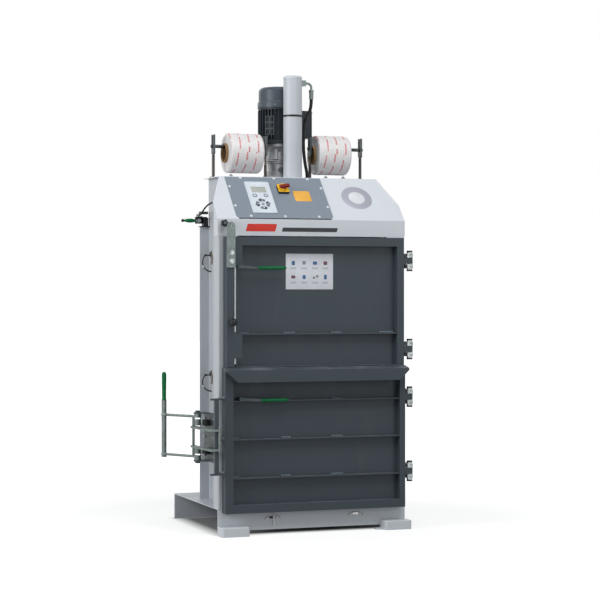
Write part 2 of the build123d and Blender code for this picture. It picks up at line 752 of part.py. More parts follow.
# Strap roll stands: on each side two posts with forked heads, open at the top for the spindle
roll_y = 445
spindle_z = 2301
spindle_radius = 10.5
spindle_gap = 0.3
fork_top = 2371
fork_bottom = 2252
fork_width = 44
fork_thickness = 12
post_radius = 6.5
post_inner = 145
post_outer = 478
post_foot = 24
roll_centre = 283
roll_length = 232
roll_radius = 121
roll_shoulder = 14
core_radius = 59
core_bore = 50
core_standout = 14
core_gap = 0.3
spindle_overhang = 16
for side, name in ((-1, "left"), (1, "right")):
    with BuildPart() as roll_stand:
        for post_x in (side * post_inner, side * post_outer):
            with BuildSketch(facing_right(post_x - fork_thickness / 2)) as fork:
                span(roll_y - fork_width / 2, roll_y + fork_width / 2, fork_bottom, fork_top)
                fillet(fork.vertices().group_by(Axis.Y)[0], 12)
                slot_half = spindle_radius + spindle_gap
                with Locations((roll_y, (spindle_z + fork_top + slot_half) / 2)):
                    Rectangle(2 * slot_half, fork_top - spindle_z + slot_half, mode=Mode.SUBTRACT)
                with Locations((roll_y, spindle_z)):
                    Circle(slot_half, mode=Mode.SUBTRACT)
            extrude(amount=fork_thickness)
            upright(post_x, roll_y, post_radius, (hood_top, fork_bottom + 1))
            upright(post_x, roll_y, post_foot, (hood_top, hood_top + 6))
    roll_stand.part.label = f"roll_stand_{name}"
    export_step(roll_stand.part, f"parts/roll_stand_{name}.step")

    spindle_ends = sides(side, post_inner - spindle_overhang, post_outer + spindle_overhang)
    with BuildPart() as spindle:
        crosswise(roll_y, spindle_z, spindle_radius, spindle_ends)
        chamfer(spindle.edges().filter_by(GeomType.CIRCLE), 1.5)
    spindle.part.label = f"spindle_{name}"
    export_step(spindle.part, f"parts/spindle_{name}.step")

    # The core hangs on the spindle, and the roll of strapping is wound on the core
    roll_z = spindle_z + spindle_radius + core_gap - core_bore
    core_reach = roll_length / 2 + core_standout
    core_ends = sides(side, roll_centre - core_reach, roll_centre + core_reach)
    with BuildPart() as roll_core:
        crosswise(roll_y, roll_z, core_radius, core_ends)
        crosswise(roll_y, roll_z, core_bore, core_ends, Mode.SUBTRACT)
    roll_core.part.label = f"roll_core_{name}"
    export_step(roll_core.part, f"parts/roll_core_{name}.step")

    roll_ends = sides(side, roll_centre - roll_length / 2, roll_centre + roll_length / 2)
    with BuildPart() as strap_roll:
        crosswise(roll_y, roll_z, roll_radius, roll_ends)
        fillet(strap_roll.edges().filter_by(GeomType.CIRCLE), roll_shoulder)
        crosswise(roll_y, roll_z, core_radius, roll_ends, Mode.SUBTRACT)
    strap_roll.part.label = f"strap_roll_{name}"
    export_step(strap_roll.part, f"parts/strap_roll_{name}.step")

# Hinges: per hinge two blocks on a strap against the column's outer side, a pin with end caps through
# them, and a thrust ring under the door's knuckle
hinge_cap_height = 8
hinge_block_height = 24
hinge_ring_height = 3
hinge_ring_radius = 14
hinge_cap_radius = 17
hinge_strap_depth = 60
hinge_strap_sheet = 12
knuckle_gap = 0.3
knuckle_radius = 19
block_top = hinge_height / 2 - hinge_cap_height
block_bottom = block_top - hinge_block_height
knuckle_low = -block_bottom + hinge_ring_height + knuckle_gap
knuckle_high = block_bottom - knuckle_gap
for name, heights in (("upper", hinge_heights[:2]), ("lower", hinge_heights[2:])):
    with BuildPart() as hinges:
        for height in heights:
            for low in (height - block_top, height + block_bottom):
                with BuildSketch(level(low)):
                    with Locations((hinge_axis_x, hinge_axis_y)):
                        Circle(hinge_block_radius)
                    span(half_width, right_reach, hinge_axis_y, hinge_strap_depth)
                extrude(amount=hinge_block_height)
            strap_x = (half_width, half_width + hinge_strap_sheet)
            block(strap_x, (0, hinge_strap_depth), (height - block_top, height + block_top))
            pin_span = (height - hinge_height / 2, height + hinge_height / 2)
            upright(hinge_axis_x, hinge_axis_y, hinge_pin_radius, pin_span)
            upright(hinge_axis_x, hinge_axis_y, hinge_cap_radius, (pin_span[0], height - block_top))
            upright(hinge_axis_x, hinge_axis_y, hinge_cap_radius, (height + block_top, pin_span[1]))
            ring_low = height - block_bottom
            upright(hinge_axis_x, hinge_axis_y, hinge_ring_radius, (ring_low, ring_low + hinge_ring_height))
    hinges.part.label = f"hinges_{name}_door"
    export_step(hinges.part, f"parts/hinges_{name}_door.step")


def knuckle(edge_x, height):
    """Door knuckle in the active part: a barrel round the hinge pin with an arm to the door's edge."""
    low = height + knuckle_low
    with BuildSketch(level(low)) as outline:
        span(edge_x, hinge_axis_x, door_front, hinge_axis_y + 4)
        with Locations((hinge_axis_x, hinge_axis_y)):
            Circle(knuckle_radius)
            Circle(hinge_pin_radius + pin_clearance, mode=Mode.SUBTRACT)
    extrude(outline.sketch, amount=knuckle_high - knuckle_low)


def door_shell(half, bottom, top, window):
    """Door weldment in the active part: hollow rails and stiles, open behind, round a recessed panel."""
    left, right, low, high = window
    with BuildSketch(facing_front(door_back)) as slab:
        span(-half, half, bottom, top)
    extrude(slab.sketch, amount=door_depth)
    with BuildSketch(facing_front(door_front)) as recess:
        span(left, right, low, high)
    extrude(recess.sketch, amount=-recess_depth, mode=Mode.SUBTRACT)
    with BuildSketch(facing_front(door_back)) as hollow:
        span(left, right, low, high)
    extrude(hollow.sketch, amount=door_depth - recess_depth - door_sheet, mode=Mode.SUBTRACT)
    with BuildSketch(facing_front(door_back)) as channels:
        span(-half + door_sheet, left - door_sheet, bottom + door_sheet, top - door_sheet)
        span(right + door_sheet, half - door_sheet, bottom + door_sheet, top - door_sheet)
        span(left, right, high + door_sheet, top - door_sheet)
        if low - bottom > 3 * door_sheet:
            span(left, right, bottom + door_sheet, low - door_sheet)
    extrude(channels.sketch, amount=door_depth - door_sheet, mode=Mode.SUBTRACT)


rib_sheet = 6
rib_depth = 44
weld_tab_height = 3
weld_tab_depth = 26
panel_face = door_front + recess_depth
lever_pin_radius = 6


def shelf_rib(window, height, tab_spans):
    """Flat rib across the recessed panel in the active part, with short tabs welded on top."""
    left, right = window[:2]
    block((left, right), (panel_face - rib_depth, panel_face), (height - rib_sheet, height))
    for tab in tab_spans:
        block(tab, (panel_face - weld_tab_depth, panel_face), (height, height + weld_tab_height))


# Upper door: its left stile holds the slide bar, which shows in two cut-outs beside the wide tabs
stile_inner = -494
upper_right = 514
upper_rail = 1691
upper_bottom = door_seam + seam_gap / 2
lower_top = door_seam - seam_gap / 2
upper_window = (stile_inner, upper_right, upper_bottom + door_sheet, upper_rail)
stile_edge = -509
tab_edge = -462
cutout_spans = ((upper_bottom + door_sheet, 1035), (1186, 1563))
tab_spans = ((1035, 1173), (1564, upper_rail))
knob_x = -524
knob_z = 1244
slide_travel = 60
stud_radius = 5
upper_lever_x = -480
upper_lever_z = 1568
lower_lever_x = -470
lower_lever_z = 797
lever_thickness = 12
lever_stub = door_front - lever_thickness - 4
upper_rib = 1176
with BuildPart() as upper_door:
    door_shell(upper_half_width, upper_bottom, upper_door_top, upper_window)
    face_y = (door_front, door_front + door_sheet)
    for cutout in cutout_spans:
        block((stile_edge, stile_inner - door_sheet), face_y, cutout, Mode.SUBTRACT)
    for tab in tab_spans:
        block((stile_inner - door_sheet, tab_edge), face_y, tab)
    shelf_rib(upper_window, upper_rib, ((-478, -404), (-194, -120), (107, 176), (413, 504)))
    with BuildSketch(facing_front(door_front)):
        with Locations((knob_x, knob_z + slide_travel / 2)):
            SlotCenterToCenter(slide_travel, 2 * stud_radius + 2, rotation=90)
    extrude(amount=-door_sheet, mode=Mode.SUBTRACT)
    fore_aft(upper_lever_x, upper_lever_z, lever_pin_radius, (lever_stub, door_front + door_sheet))
    for height in hinge_heights[:2]:
        knuckle(upper_half_width, height)
upper_door.part.label = "upper_door"
export_step(upper_door.part, "parts/upper_door.step")

# Lower door: three ribs, a bottom rail, and a spacer that carries its lever in front of the panel
lower_window = (-516, 530, 181, 900)
lower_ribs = (787, 563, 338)
lower_tabs = ((-514, -465), (-207, -145), (107, 183))
spacer_radius = 10
with BuildPart() as lower_door:
    door_shell(lower_half_width, lower_door_bottom, lower_top, lower_window)
    for height in lower_ribs:
        shelf_rib(lower_window, height, lower_tabs)
    fore_aft(lower_lever_x, lower_lever_z, spacer_radius, (door_front + 1, panel_face))
    fore_aft(lower_lever_x, lower_lever_z, lever_pin_radius, (lever_stub, door_front + 1))
    for height in hinge_heights[2:]:
        knuckle(lower_half_width, height)
lower_door.part.label = "lower_door"
export_step(lower_door.part, "parts/lower_door.step")

# Loading lip on the lower door: a sloped top, a front plate with mitred lower corners, and end returns
lip_corner_left = 70
lip_corner_right = 58
lip_bottom = lower_top - lip_height


def lip_solid(inset):
    """The lip's outer form, or with an inset the space inside its sheet, open at the rear and below."""
    back = door_front + (1 if inset else 0)
    front = door_front - lip_reach + inset
    low = lip_bottom - 2 * inset
    left = lip_left + inset * math.sqrt(2)
    right = lip_right - inset * math.sqrt(2)
    reach = 2 * inset
    with BuildPart(mode=Mode.PRIVATE) as form:
        with BuildSketch(facing_right(left)):
            with BuildLine():
                Polyline(
                    (back, low),
                    (back, lower_top - inset),
                    (front, lower_top - lip_drop - inset),
                    (front, low),
                    close=True,
                )
            make_face()
        extrude(amount=right - left)
        with BuildSketch(facing_front(door_front + 2)):
            with BuildLine():
                Polyline(
                    (left, lower_top),
                    (left, lip_bottom + lip_corner_left),
                    (left + lip_corner_left + reach, low),
                    (right - lip_corner_right - reach, low),
                    (right, lip_bottom + lip_corner_right),
                    (right, lower_top),
                    close=True,
                )
            make_face()
        extrude(amount=lip_reach + 4, mode=Mode.INTERSECT)
    return form.part


with BuildPart() as door_lip:
    add(lip_solid(0))
    add(lip_solid(lip_sheet), mode=Mode.SUBTRACT)
door_lip.part.label = "door_lip"
export_step(door_lip.part, "parts/door_lip.step")

# Interlock strap: a bar bolted to the upper door's stile that reaches up in front of the hood
strap_x = -532
strap_width = 50
strap_low = 1562
strap_high = 1827
strap_sheet = 10
with BuildPart() as interlock_strap:
    with BuildSketch(facing_front(door_front)) as outline:
        span(strap_x - strap_width / 2, strap_x + strap_width / 2, strap_low, strap_high)
        fillet(outline.vertices().group_by(Axis.Y)[-1], strap_width / 2 - 1)
        with Locations((strap_x + 3, strap_high - 24)):
            Circle(6, mode=Mode.SUBTRACT)
    extrude(amount=strap_sheet)
    with BuildSketch(facing_front(door_front - strap_sheet)):
        with Locations((strap_x + 3, 1597), (strap_x + 3, 1648)):
            RegularPolygon(9, 6)
    extrude(amount=6)
interlock_strap.part.label = "interlock_strap"
export_step(interlock_strap.part, "parts/interlock_strap.step")

# Slide bar: a flat bar just behind the stile's face, with a stud through the slot
bar_front = door_front + door_sheet + knuckle_gap
bar_sheet = 6
ball_radius = 21.5
ball_y = -97
ball_flat = ball_y + 18
with BuildPart() as slide_bar:
    block((-533, stile_inner - door_sheet - 2), (bar_front, bar_front + bar_sheet), (1000, 1622))
    fore_aft(knob_x, knob_z, stud_radius, (ball_flat, bar_front + 1))
slide_bar.part.label = "slide_bar"
export_step(slide_bar.part, "parts/slide_bar.step")

with BuildPart() as ball_knob:
    with Locations((mid_x + knob_x, front_y + ball_y, knob_z)):
        Sphere(ball_radius)
    block((knob_x - 30, knob_x + 30), (ball_flat, ball_y + 30), (knob_z - 30, knob_z + 30), Mode.SUBTRACT)
ball_knob.part.label = "ball_knob"
export_step(ball_knob.part, "parts/ball_knob.step")

# Door levers: a hub on the door's pin, a flat arm and a long round grip
grip_radius = 11
hub_radius = 12
lever_drop = 8
for name, pivot_x, pivot_z, grip_left, grip_right in (
    ("upper", upper_lever_x, upper_lever_z, -366, -194),
    ("lower", lower_lever_x, lower_lever_z, -348, -181),
):
    hub_back = door_front - knuckle_gap
    arm_y = (hub_back - lever_thickness, hub_back - lever_thickness / 2)
    grip_z = pivot_z - lever_drop
    with BuildPart() as lever:
        with BuildSketch(facing_front(hub_back)):
            with Locations((pivot_x, pivot_z)):
                Circle(hub_radius)
        extrude(amount=lever_thickness)
        with BuildSketch(facing_front(hub_back - lever_thickness / 2)):
            with BuildLine():
                Polyline(
                    (pivot_x, pivot_z + 8),
                    (grip_left, grip_z + 7),
                    (grip_left, grip_z - 7),
                    (pivot_x, pivot_z - 8),
                    close=True,
                )
            make_face()
        extrude(amount=lever_thickness / 2)
        bore_y = (lever_stub - 1, door_front)
        fore_aft(pivot_x, pivot_z, lever_pin_radius + pin_clearance, bore_y, Mode.SUBTRACT)
    lever.part.label = f"{name}_lever"
    export_step(lever.part, f"parts/{name}_lever.step")
    with BuildPart() as grip:
        crosswise(hub_back - grip_radius, grip_z, grip_radius, (grip_left, grip_right))
        fillet(grip.edges().filter_by(GeomType.CIRCLE).sort_by(Axis.X)[-1], 8)
        fillet(grip.edges().filter_by(GeomType.CIRCLE).sort_by(Axis.X)[0], 3)
    grip.part.label = f"{name}_lever_grip"
    export_step(grip.part, f"parts/{name}_lever_grip.step")

# Latch bracket on the lower door's edge: three pointed plates joined by an upright keeper bar
plate_height = 11
plate_heights = (366, 565, 800)
keeper_x = (-635, -610)
keeper_y = (-88, -64)
plate_tip = -660
with BuildPart() as latch_bracket:
    for height in plate_heights:
        tip = keeper_x[0] if height == plate_heights[1] else plate_tip
        with BuildSketch(level(height - plate_height / 2)):
            with BuildLine():
                Polyline(
                    (-lower_half_width, -12),
                    (-lower_half_width, door_front),
                    (keeper_x[1], keeper_y[0]),
                    (keeper_x[0], keeper_y[0]),
                    (tip, (keeper_y[0] + keeper_y[1]) / 2),
                    (keeper_x[0], keeper_y[1]),
                    (-half_width, -12),
                    close=True,
                )
            make_face()
        extrude(amount=plate_height)
    block(keeper_x, keeper_y, (plate_heights[0], plate_heights[2]))
latch_bracket.part.label = "latch_bracket"
export_step(latch_bracket.part, "parts/latch_bracket.step")

# Latch console on the left column: a back plate, two ears and two shaft stubs that the handle turns on
rod_heights = (449, 685)
arm_height = 12
console_sheet = 8
console_low = 428
console_high = 702
console_depth = 90
console_front = 25
console_end = 24
shaft_radius = 10
shaft_head = 15
with BuildPart() as latch_console:
    console_y = (shaft_y - console_depth / 2, shaft_y + console_depth / 2)
    console_z = (console_low - console_sheet, console_high + console_sheet)
    block((-half_width - console_sheet, -half_width), (console_front, console_y[1]), console_z)
    for low in (console_low - console_sheet, console_high):
        with BuildSketch(level(low)):
            with BuildLine():
                near_end = (shaft_x, shaft_y - console_end)
                far_end = (shaft_x, shaft_y + console_end)
                Polyline((-half_width, console_y[0]), near_end)
                ThreePointArc(near_end, (shaft_x - console_end, shaft_y), far_end)
                Polyline(far_end, (-half_width, console_y[1]), (-half_width, console_y[0]))
            make_face()
        extrude(amount=console_sheet)
    upright(shaft_x, shaft_y, shaft_radius, (console_z[0], rod_heights[0] + arm_height / 2 - 1))
    upright(shaft_x, shaft_y, shaft_radius, (rod_heights[1] - arm_height / 2 + 1, console_z[1]))
    for low in (console_z[0] - 10, console_z[1]):
        with BuildSketch(level(low)):
            with Locations((shaft_x, shaft_y)):
                RegularPolygon(shaft_head, 6)
        extrude(amount=10)
latch_console.part.label = "latch_console"
export_step(latch_console.part, "parts/latch_console.step")

# Latch handle: two hubs with crank arms, a crank pin, two rods and an upright bar with ball joints
handle_rod_radius = 8
handle_hub_radius = 20
crank_angle = 127
crank_pin_radius = 8
crank_end = 14
bar_bottom = 431
bar_top = 771
grip_top = 941
latch_grip_radius = 14
crank_x = shaft_x + crank_radius * math.cos(math.radians(crank_angle))
crank_y = shaft_y + crank_radius * math.sin(math.radians(crank_angle))
with BuildPart() as latch_handle:
    lower_hub = (console_low + knuckle_gap, rod_heights[0] + arm_height / 2)
    upper_hub = (rod_heights[1] - arm_height / 2, console_high - knuckle_gap)
    upright(shaft_x, shaft_y, handle_hub_radius, lower_hub)
    upright(shaft_x, shaft_y, handle_hub_radius, upper_hub)
    for height in rod_heights:
        with BuildSketch(level(height - arm_height / 2)):
            with Locations((shaft_x, shaft_y)):
                Circle(handle_hub_radius)
            with Locations((crank_x, crank_y)):
                Circle(crank_end)
            make_hull()
        extrude(amount=arm_height)
        start = Vector(mid_x + shaft_x, front_y + shaft_y, height)
        end = Vector(mid_x + handle_bar_x, front_y + handle_bar_y, height)
        with BuildSketch(Plane(start, z_dir=end - start)):
            Circle(handle_rod_radius)
        extrude(amount=handle_reach)
        with Locations(end):
            Sphere(joint_ball_radius)
    upright(crank_x, crank_y, crank_pin_radius, rod_heights)
    upright(handle_bar_x, handle_bar_y, handle_bar_radius, (bar_bottom, bar_top))
    shaft_bore = (console_low, console_high)
    upright(shaft_x, shaft_y, shaft_radius + pin_clearance, shaft_bore, Mode.SUBTRACT)
latch_handle.part.label = "latch_handle"
export_step(latch_handle.part, "parts/latch_handle.step")

with BuildPart() as latch_grip:
    upright(handle_bar_x, handle_bar_y, latch_grip_radius, (bar_top, grip_top))
    fillet(latch_grip.edges().filter_by(GeomType.CIRCLE).sort_by(Axis.Z)[-1], latch_grip_radius - 3)
latch_grip.part.label = "latch_grip"
export_step(latch_grip.part, "parts/latch_grip.step")

# Latch hook: two flat hooks on the crank pin, joined by a cross pin in front of the keeper bar
hook_heights = (508, 622)
hook_height = 12
hook_eye = 17
hook_elbow = 13
nose_half = 7
nose_gap = 0.3
hook_pin_radius = 6.5
hook_clear = 8
nose_y = keeper_y[0] - nose_gap - nose_half
elbow_x = keeper_x[0] - hook_clear - hook_elbow
nose_end = keeper_x[1] + 4
with BuildPart() as latch_hook:
    for height in hook_heights:
        with BuildSketch(level(height - hook_height / 2)):
            with Locations((crank_x, crank_y)):
                Circle(hook_eye)
            with Locations((elbow_x, nose_y - nose_half + hook_elbow)):
                Circle(hook_elbow)
            make_hull()
            span(elbow_x, nose_end, nose_y - nose_half, nose_y + nose_half)
            with Locations((nose_end, nose_y)):
                Circle(nose_half)
            with Locations((crank_x, crank_y)):
                Circle(crank_pin_radius + pin_clearance, mode=Mode.SUBTRACT)
        extrude(amount=hook_height)
    upright(nose_end - 4, nose_y, hook_pin_radius, (hook_heights[0] - 20, hook_heights[1] + 20))
latch_hook.part.label = "latch_hook"
export_step(latch_hook.part, "parts/latch_hook.step")

# Side lever's block: it stands on the rear flange's top, holds the lever's pin, and has a cable lug
side_lever_x = -535
side_lever_y = frame_depth
side_lever_z = flange_top + 39
side_hub_radius = 15
side_hub_width = 20
side_pin_radius = 6
block_left = -508
block_right = -478
block_top_z = flange_top + 57
lug_x = -541
lug_front = side_lever_y - 14
cable_radius = 5
cable_start_z = block_top_z + 13
with BuildPart() as lever_block:
    shelf_x = (-wall_x - flange_reach, -wall_x - knuckle_gap)
    block(shelf_x, (side_lever_y - 26, side_lever_y + 24), (flange_top, flange_top + 6))
    block((block_left, block_right), (side_lever_y - 20, side_lever_y + 20), (flange_top + 6, block_top_z))
    fillet(lever_block.edges().filter_by(Axis.Y).group_by(Axis.Z)[-1], 4)
    block((lug_x - 12, block_right - 6), (lug_front, side_lever_y + 18), (block_top_z - 1, block_top_z + 5))
    plate_y = (side_lever_y + 12, side_lever_y + 18)
    block((lug_x - 11, block_left), plate_y, (side_lever_z - 18, block_top_z))
    block((lug_x - 8, lug_x + 8), (lug_front, lug_front + 12), (block_top_z + 5, cable_start_z + 8))
    fore_aft(side_lever_x, side_lever_z, side_pin_radius, (side_lever_y - 14, plate_y[0] + 1))
lever_block.part.label = "lever_block"
export_step(lever_block.part, "parts/lever_block.step")

# Side lever: a hub on the pin and a short rod; the grip is a turned spindle with a ball at its tip
side_rod_end = -556
side_ball_x = -634
side_ball_radius = 10
with BuildPart() as side_lever:
    hub_y = (side_lever_y - side_hub_width / 2, side_lever_y + side_hub_width / 2)
    fore_aft(side_lever_x, side_lever_z, side_hub_radius, hub_y)
    crosswise(side_lever_y, side_lever_z, 7, (side_rod_end, side_lever_x))
    bore_y = (hub_y[0] - 1, hub_y[1] + 1)
    fore_aft(side_lever_x, side_lever_z, side_pin_radius + pin_clearance, bore_y, Mode.SUBTRACT)
side_lever.part.label = "side_lever"
export_step(side_lever.part, "parts/side_lever.step")

grip_origin = (mid_x, front_y + side_lever_y, side_lever_z)
with BuildPart() as side_grip:
    with BuildSketch(Plane(origin=grip_origin, x_dir=(1, 0, 0), z_dir=(0, -1, 0))):
        with BuildLine():
            neck = (side_ball_x + 8, 6)
            tip = (side_ball_x - side_ball_radius, 0)
            Line((side_rod_end, 0), (side_rod_end, 8))
            ThreePointArc((side_rod_end, 8), (side_rod_end - 32, 13), neck)
            ThreePointArc(neck, (side_ball_x, side_ball_radius), tip)
            Line(tip, (side_rod_end, 0))
        make_face()
    revolve(axis=Axis(grip_origin, (1, 0, 0)))
side_grip.part.label = "side_grip"
export_step(side_grip.part, "parts/side_grip.step")

# Lever cable: sheathed, from the block's lug forward along the wall to the lug under the hood
cable_points = [
    (lug_x, lug_front, cable_start_z),
    (lug_x, side_lever_y - 66, cable_start_z),
    (-538, side_lever_y - 116, 1917),
    (-532, side_lever_y - 180, 1943),
    (-519, side_lever_y - 238, 1957),
    (wall_lug_x, wall_lug_y + 52, wall_lug_z),
    (wall_lug_x, wall_lug_y, wall_lug_z),
]
lever_cable = cord_tube([(mid_x + x, front_y + y, z) for x, y, z in cable_points], cable_radius)
lever_cable.part.label = "lever_cable"
export_step(lever_cable.part, "parts/lever_cable.step")

# Strap guides on the left wall: a triangular eye with a tongue, and a bent rod that stands off the wall
guide_y = 508
guide_sheet = 5
guide_rod_radius = 4
guide_reach = 57
guide_rise = 42
guide_pin_radius = 7
for name, guide_z in (("upper", 1600), ("lower", 872)):
    with BuildPart() as strap_guide:
        with BuildSketch(facing_right(-wall_x - guide_sheet)) as eye:
            with BuildLine():
                Polyline(
                    (guide_y - 22, guide_z + 34),
                    (guide_y - 6, guide_z + 74),
                    (guide_y + 20, guide_z + 52),
                    (guide_y + 16, guide_z + 30),
                    close=True,
                )
            make_face()
            fillet(eye.vertices(), 6)
            with Locations((guide_y - 4, guide_z + 54)):
                Circle(9, mode=Mode.SUBTRACT)
            with Locations((guide_y - 18, guide_z + 14)):
                SlotOverall(58, 16, rotation=105)
        extrude(amount=guide_sheet)
        corner_x = -wall_x - math.sqrt(guide_reach**2 - guide_rise**2)
        corner_angle = 180 - math.degrees(math.asin(guide_rise / guide_reach))
        crosswise(guide_y, guide_z + guide_rise, guide_rod_radius, (corner_x, -wall_x))
        with BuildLine(facing_front(guide_y)) as route:
            CenterArc((-wall_x, guide_z), guide_reach, corner_angle, 270 - corner_angle)
        with BuildSketch(Plane(route.line @ 0, z_dir=route.line % 0)):
            Circle(guide_rod_radius)
        sweep()
        pin_y = (guide_y - 9, guide_y + 9)
        fore_aft(corner_x, guide_z + guide_rise, guide_pin_radius, pin_y)
    strap_guide.part.label = f"strap_guide_{name}"
    export_step(strap_guide.part, f"parts/strap_guide_{name}.step")

# Lobed hand knob on the hood's face, beside the interlock strap
knob_lobes = 5
lobe_radius = 8
hand_knob_x = -556
hand_knob_z = 1820
hand_knob_rise = 14
hand_knob_height = 24
with BuildPart() as hood_knob:
    fore_aft(hand_knob_x, hand_knob_z, 8, (-hand_knob_rise, 0))
    with BuildSketch(facing_front(-hand_knob_rise)):
        with Locations((hand_knob_x, hand_knob_z)):
            Circle(15)
            with PolarLocations(14, knob_lobes):
                Circle(lobe_radius)
    extrude(amount=hand_knob_height)
    fillet(hood_knob.faces().sort_by(Axis.Y)[0].edges(), 3)
hood_knob.part.label = "hood_knob"
export_step(hood_knob.part, "parts/hood_knob.step")
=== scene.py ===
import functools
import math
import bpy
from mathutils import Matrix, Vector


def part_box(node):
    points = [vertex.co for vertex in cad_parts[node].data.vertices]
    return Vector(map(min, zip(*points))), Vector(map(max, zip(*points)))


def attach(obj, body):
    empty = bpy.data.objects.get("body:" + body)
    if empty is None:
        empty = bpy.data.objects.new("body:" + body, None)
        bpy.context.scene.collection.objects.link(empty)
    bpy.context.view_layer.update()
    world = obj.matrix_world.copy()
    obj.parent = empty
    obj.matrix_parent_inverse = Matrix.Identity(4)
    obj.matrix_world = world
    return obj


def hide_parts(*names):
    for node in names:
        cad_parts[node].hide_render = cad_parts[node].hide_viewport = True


bl_info = {
    "name": "Recycling Baler Dresser",
    "version": (1, 0, 0),
    "blender": (4, 5, 0),
    "location": "View3D > Sidebar > Baler",
    "description": "Dresses the packed frame of an upright recycling baler with its finishes and small parts",
    "category": "Object",
}

import bmesh
import bpy
from mathutils import Matrix, Vector

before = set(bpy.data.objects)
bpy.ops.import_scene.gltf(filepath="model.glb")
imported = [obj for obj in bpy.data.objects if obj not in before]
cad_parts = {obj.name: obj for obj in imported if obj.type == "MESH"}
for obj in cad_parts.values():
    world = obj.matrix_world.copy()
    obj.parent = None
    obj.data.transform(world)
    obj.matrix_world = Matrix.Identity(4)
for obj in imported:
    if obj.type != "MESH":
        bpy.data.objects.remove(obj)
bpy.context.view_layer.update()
HOOD_LOW, HOOD_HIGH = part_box("hood")
MID = (HOOD_LOW.x + HOOD_HIGH.x) / 2
FACE = HOOD_LOW.y

# The hood's slope starts at this height in metres, and rises 263 mm over 250 mm of depth
FOLD = 1.847
LEAN = math.atan2(0.263, 0.250)

# Faces above the slope, in millimetres: the control panel's, and the keypad's inside its rim
PANEL_LIFT = 2.5
KEY_LIFT = PANEL_LIFT + 4.7

# Middles on the slope, in millimetres: X from the mid-plane, and up from the fold
WINDOW = (-286, 243)
ARROW_RING = (-286, 120)
SWITCH = (-130, 252)
SEAL = (331, 193)

# Upright axes, in millimetres: X from the mid-plane, Y behind the hood's face
BARREL = (0, 355)
MOTOR = (-20, 552)
HINGE = (600, -50)
HOSE_END = (97, 360)

# Other places, in millimetres: Y and Z of two axes that run across, X and Z of two knobs, the heights of the
# hinges, and the Y of the oil tank's back
ROLL_AXIS = (445, 2261.8)
SIDE_LEVER = (566, 1854)
SLIDE_KNOB = (-524, 1244)
HOOD_KNOB = (-556, 1820)
HINGE_HEIGHTS = (1605.5, 1076.5, 791, 346)
TANK_BACK = 750

# Turns in degrees, and one that lays a piece's own Z along X
QUARTERS = (0, 90, 180, 270)
CORNERS = (45, 135, 225, 315)
SIDEWAYS = Matrix.Rotation(math.pi / 2, 4, "Y")


# Settings

def linear(code):
    """An sRGB hex colour as linear red, green, blue."""
    parts = [int(code[i : i + 2], 16) / 255 for i in (1, 3, 5)]
    return tuple(p / 12.92 if p <= 0.04045 else ((p + 0.055) / 1.055) ** 2.4 for p in parts)


def colour_prop(name, description, code):
    """A colour setting whose default is an sRGB hex value."""
    return bpy.props.FloatVectorProperty(
        name=name, description=description, subtype="COLOR", size=3, min=0, max=1, default=linear(code)
    )


def size_prop(name, description, default):
    """A size setting in metres."""
    return bpy.props.FloatProperty(name=name, description=description, default=default, unit="LENGTH")


class BalerFinishes(bpy.types.PropertyGroup):
    """Colours of the baler's finishes."""

    hood_paint: colour_prop("Hood paint", "Pale grey powder coat of the hood", "#cdd2d8")
    frame_paint: colour_prop("Frame paint", "Light grey powder coat of the press frame", "#b9bec4")
    door_paint: colour_prop("Door paint", "Anthracite powder coat of the doors", "#3c454c")
    panel_paint: colour_prop("Panel paint", "Blue grey enamel of the control panel", "#78838f")
    motor_paint: colour_prop("Motor paint", "Dark slate paint of the motor", "#424b54")
    zinc: colour_prop("Zinc", "Hot-dip zinc coat of the latch parts", "#727d7b")
    steel: colour_prop("Steel", "Bright ground steel", "#a4a8ac")
    green: colour_prop("Grip green", "Dipped vinyl of the grips", "#026235")
    black: colour_prop("Black plastic", "Moulded black plastic", "#1d1e20")
    red: colour_prop("Switch red", "Moulded red plastic of the main switch", "#78130c")
    yellow: colour_prop("Switch yellow", "Moulded yellow plate of the main switch", "#ecb818")
    amber: colour_prop("Amber", "Plain amber field on the panel", "#e9ad45")
    strap: colour_prop("Strapping", "White woven polyester strapping", "#e3e0e0")
    dash: colour_prop("Strap dash", "Red dashes along the strapping", "#c22b3c")
    card: colour_prop("Card", "Spiral wound card of the roll cores", "#96784f")


class BalerSizes(bpy.types.PropertyGroup):
    """Sizes of the small parts."""

    screw_radius: size_prop("Panel screw", "Radius of a panel screw's head", 0.009)
    weld_radius: size_prop("Weld bead", "Radius of a weld bead", 0.0075)
    hose_diameter: size_prop("Hose", "Outer diameter of the pressure hose", 0.020)
    cable_diameter: size_prop("Lever cable", "Outer diameter of the side lever's cable", 0.010)
    roll_width: size_prop("Roll width", "Width of a wound roll of strapping", 0.212)
    switch_rise: size_prop("Switch rise", "Height of the main switch's base above the panel", 0.012)
    sheet_width: size_prop("Sheet width", "Width of the paper sheet on the upper door", 0.297)
    sheet_height: size_prop("Sheet height", "Height of the paper sheet on the upper door", 0.210)


def finishes():
    """The colour settings."""
    return bpy.context.scene.baler_finishes


def sizes():
    """The size settings, in metres."""
    return bpy.context.scene.baler_sizes


# Places

TURNS = {
    "up": Matrix.Identity(4),
    "down": Matrix.Rotation(math.pi, 4, "X"),
    "front": Matrix.Rotation(math.pi / 2, 4, "X"),
    "left": Matrix.Rotation(-math.pi / 2, 4, "Z") @ Matrix.Rotation(math.pi / 2, 4, "X"),
    "right": Matrix.Rotation(math.pi / 2, 4, "Z") @ Matrix.Rotation(math.pi / 2, 4, "X"),
    "rear": Matrix.Rotation(math.pi, 4, "Z") @ Matrix.Rotation(math.pi / 2, 4, "X"),
}


def spot(x, y, z):
    """A place in metres, from millimetres off the mid-plane, behind the hood's face and above the floor."""
    return Vector((MID + x / 1000, FACE + y / 1000, z / 1000))


